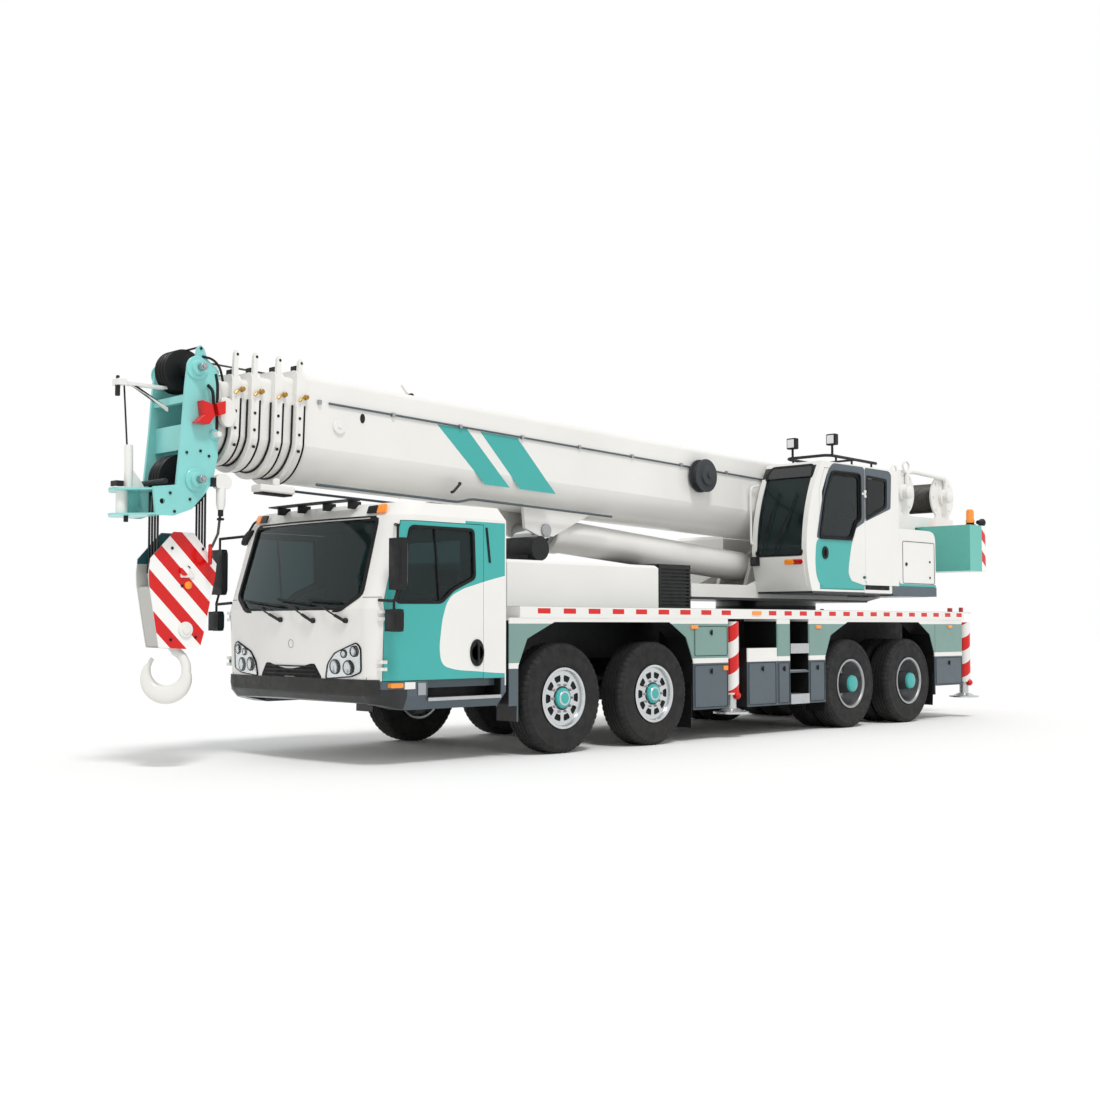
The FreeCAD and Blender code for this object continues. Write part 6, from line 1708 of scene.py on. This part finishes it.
@dataclass
class HookBlock(Maker):
    """The lower block, its covers and the hook."""

    body = "hook_block"
    x: float = 3.545
    face: float = 0.110
    bowl: tuple = (0.08, 0.87)
    inner: float = 0.135
    outer: float = 0.22
    drop: float = 0.08

    def finishes(self) -> None:
        """Paint the block: stripes outside, a grey base inside that is painted shade between the
        plates, dark turquoise above.
        """
        stripe = Stripe((0.7071, 0, -0.7071), 0.2235, 0.48, 0.235)
        # The grey base colour is painted shade on the faces between the plates.
        dress("hook_block", Finish("hook_block_paint", "C9C8C4", zones=(
            layer("2F5F63", 1.78, 2.07),
            Zone(PALE, low=(None, self.face - 0.001, 1.02), high=(None, None, 2.07)),
            Zone(RED, low=(None, self.face - 0.001, 1.02), high=(None, None, 2.07),
                 stripe=stripe),
            Zone(PALE, low=(None, None, 1.02), high=(None, -self.face + 0.001, 2.07)),
            Zone(RED, low=(None, None, 1.02), high=(None, -self.face + 0.001, 2.07),
                 stripe=stripe),
            layer("1D1C1B", 2.07),
            Zone("1D1C1B", low=(None, -0.095, 1.70), high=(None, 0.095, None)),
        ), **PAINT))

    def fittings(self) -> None:
        """Covers between the plates, bolts, latch, button and axle cap."""
        x, y = self.x, self.face
        covers = [plate([(x + 0.226, 1.075), (x + 0.320, 1.56), (x + 0.300, 1.585),
                         (x + 0.198, 1.075)], -0.097, 0.097),
                  plate([(x - 0.170, 1.075), (x - 0.222, 1.24), (x - 0.300, 1.60),
                         (x - 0.278, 1.60), (x - 0.198, 1.24), (x - 0.146, 1.075)], -0.097,
                        0.097)]
        self.add("block_covers", covers, Finish("satin_grey_paint", "B9B8B3", **PAINT),
                 bevel=0.004)
        bolts = [drum(0.014, y, y + 0.010, (px, 0, pz), steps=8)
                 for px, pz in ((3.657, 1.916), (3.356, 1.919), (3.420, 1.15), (3.66, 1.13),
                                (3.558, 1.594))]
        bolts.append(drum(0.020, y, y + 0.012, (3.50, 0, 1.747), steps=14))
        self.add("block_bolts", both(bolts), BLACK_PLASTIC)
        latch = [plate([(3.575, 1.665), (3.470, 1.665), (3.440, 1.680), (3.480, 1.735),
                        (3.520, 1.770), (3.545, 1.725), (3.580, 1.712)], y, y + 0.016),
                 revolve([(0, y), (0.068, y), (0.070, y + 0.006), (0.066, y + 0.016),
                          (0.040, y + 0.018), (0.038, y + 0.026), (0, y + 0.027)],
                         (3.519, 0, 1.215), steps=32)]
        self.add("block_latch_and_cap", both(latch), WHITE_PAINT, bevel=0.002)
        button = revolve([(0, y), (0.034, y), (0.034, y + 0.012), (0.022, y + 0.020),
                          (0, y + 0.022)], (3.500, 0, 1.599), steps=24)
        # The amber finish glows faintly; on this button, which is no lamp, the glow is painted
        # light.
        self.add("block_button", both([button]), AMBER)

    def hook(self) -> None:
        """The forged hook: a bar whose thickness grows to its bottom.

        In the hook's own plane the bar lies between a small circle and a larger one whose
        middle is lower: at angle t the outer edge is at u.d + sqrt((u.d)^2 - d^2 + R^2) from
        the small circle's middle, with u the direction at t and d the step between middles.
        """
        turn = np.radians(np.linspace(38, -252, 60))
        direction = np.stack([np.cos(turn), np.sin(turn)], axis=-1)
        shift = direction @ np.array([0.0, -self.drop])
        outer = shift + np.sqrt(shift ** 2 - self.drop ** 2 + self.outer ** 2)
        share = np.linspace(0, 1, 60)
        thick = (outer - self.inner) / 2
        thick = np.maximum(thick, 0.040 * (share > 0.5)) * np.clip(share / 0.10, 0.45, 1.0)
        thick = np.maximum(thick, 0.018)
        middle = (self.inner + thick)[:, None] * direction + np.array(self.bowl)
        up = np.array([(0.0, z) for z in (1.06, 1.10, 1.17, 1.249)])
        line = np.vstack([middle, up])
        half = np.concatenate([thick, np.full(4, 0.041)])
        deep = np.concatenate([np.interp(share, (0, 0.4, 0.8, 1), (0.022, 0.060, 0.050, 0.042)),
                               np.full(4, 0.041)])
        run = np.gradient(line, axis=0)
        run = run / np.linalg.norm(run, axis=1, keepdims=True)
        across = np.stack([-run[:, 1], run[:, 0]], axis=-1)
        ring_turn = np.linspace(0, 2 * math.pi, 24, endpoint=False)
        c, s = np.cos(ring_turn), np.sin(ring_turn)
        squared = np.stack([np.sign(c) * np.abs(c) ** 0.75, np.sign(s) * np.abs(s) ** 0.75],
                           axis=-1)
        flat = line[:, None] + across[:, None] * (half[:, None] * squared[None, :, 0])[..., None]
        depth = deep[:, None] * squared[None, :, 1]
        left, away = np.array([0.706, -0.708]), np.array([0.708, 0.706])
        plan = flat[..., :1] * left + depth[..., None] * away
        points = np.concatenate([plan + np.array([self.x, 0.0]), flat[..., 1:]], axis=-1)
        nut = drum(0.072, 1.1903, 1.249, (self.x, 0, 0), Axis.Z, steps=24)
        self.add("forged_hook", [grid(points, wrap_v=True, cap=True), nut], Finish("hook_paint",
                                                                                   "E2E1DC",
                                                                                   **PAINT),
                 "hook", replaces=("hook",))

    def build(self) -> None:
        """Make the block and the hook."""
        self.finishes()
        self.fittings()
        self.hook()


@dataclass
class Studio:
    """Floor, light and camera."""

    lens: float = 46.76
    heading: float = math.radians(44.92)
    pitch: float = math.radians(3.03)
    spot: tuple = (12.533, 11.079, 1.25)

    def floor(self) -> None:
        """A pale floor that reads as white to the camera and in reflections."""
        mesh = bpy.data.meshes.new("floor")
        reach = FLOOR_REACH
        mesh.from_pydata([(-reach, -reach, 0), (reach, -reach, 0), (reach, reach, 0),
                          (-reach, reach, 0)], [], [(0, 1, 2, 3)])
        made = bpy.data.materials.new("pale_studio_floor")
        made.use_nodes = True
        tree = made.node_tree
        shader = tree.nodes["Principled BSDF"]
        shader.inputs["Base Color"].default_value = linear(FLOOR_WHITE)
        shader.inputs["Roughness"].default_value = 0.9
        mesh.materials.append(made)
        floor = bpy.data.objects.new("floor", mesh)
        bpy.context.scene.collection.objects.link(floor)

    def light(self) -> None:
        """A white world to the eye, a plain one for the object, and one sun."""
        world = bpy.data.worlds.new("studio")
        bpy.context.scene.world = world
        world.use_nodes = True
        tree = world.node_tree
        back = tree.nodes["Background"]
        path = add_node(tree, "ShaderNodeLightPath")
        seen = maths(tree, "MAXIMUM", path.outputs["Is Camera Ray"],
                     path.outputs["Is Glossy Ray"])
        seen = maths(tree, "MAXIMUM", seen, path.outputs["Is Transmission Ray"])
        power = add_node(tree, "ShaderNodeMapRange", None,
                         {"Value": seen, "To Min": 0.75, "To Max": 1.0})
        tree.links.new(power.outputs[0], back.inputs["Strength"])
        back.inputs["Color"].default_value = (1.0, 1.0, 1.0, 1.0)
        sun = bpy.data.lights.new("key", "SUN")
        sun.energy, sun.angle = 1.5, math.radians(12)
        lamp = bpy.data.objects.new("key", sun)
        lamp.rotation_euler = Vector((-0.35, -0.75, -1.25)).to_track_quat("-Z", "Y").to_euler()
        bpy.context.scene.collection.objects.link(lamp)

    def camera(self) -> None:
        """The photograph's camera."""
        data = bpy.data.cameras.new("camera")
        data.lens, data.sensor_width = self.lens, 36.0
        data.clip_end = 400
        camera = bpy.data.objects.new("camera", data)
        camera.location = self.spot
        aim = Vector((-math.cos(self.heading) * math.cos(self.pitch),
                      -math.sin(self.heading) * math.cos(self.pitch), math.sin(self.pitch)))
        camera.rotation_euler = aim.to_track_quat("-Z", "Y").to_euler()
        bpy.context.scene.collection.objects.link(camera)
        bpy.context.scene.camera = camera

    def build(self) -> None:
        """Set the stage."""
        self.floor()
        self.light()
        self.camera()
        bpy.context.scene.view_settings.view_transform = "Standard"


def main() -> None:
    """Build every part of the picture in order."""
    logging.basicConfig(level=logging.INFO, format="%(message)s")
    for part in (Studio(), Wheels(), DriverCab(), Carrier(), Superstructure(), Boom(),
                 HookBlock()):
        log.info("building %s", type(part).__name__)
        part.build()


if __name__ == "__main__":
    main()
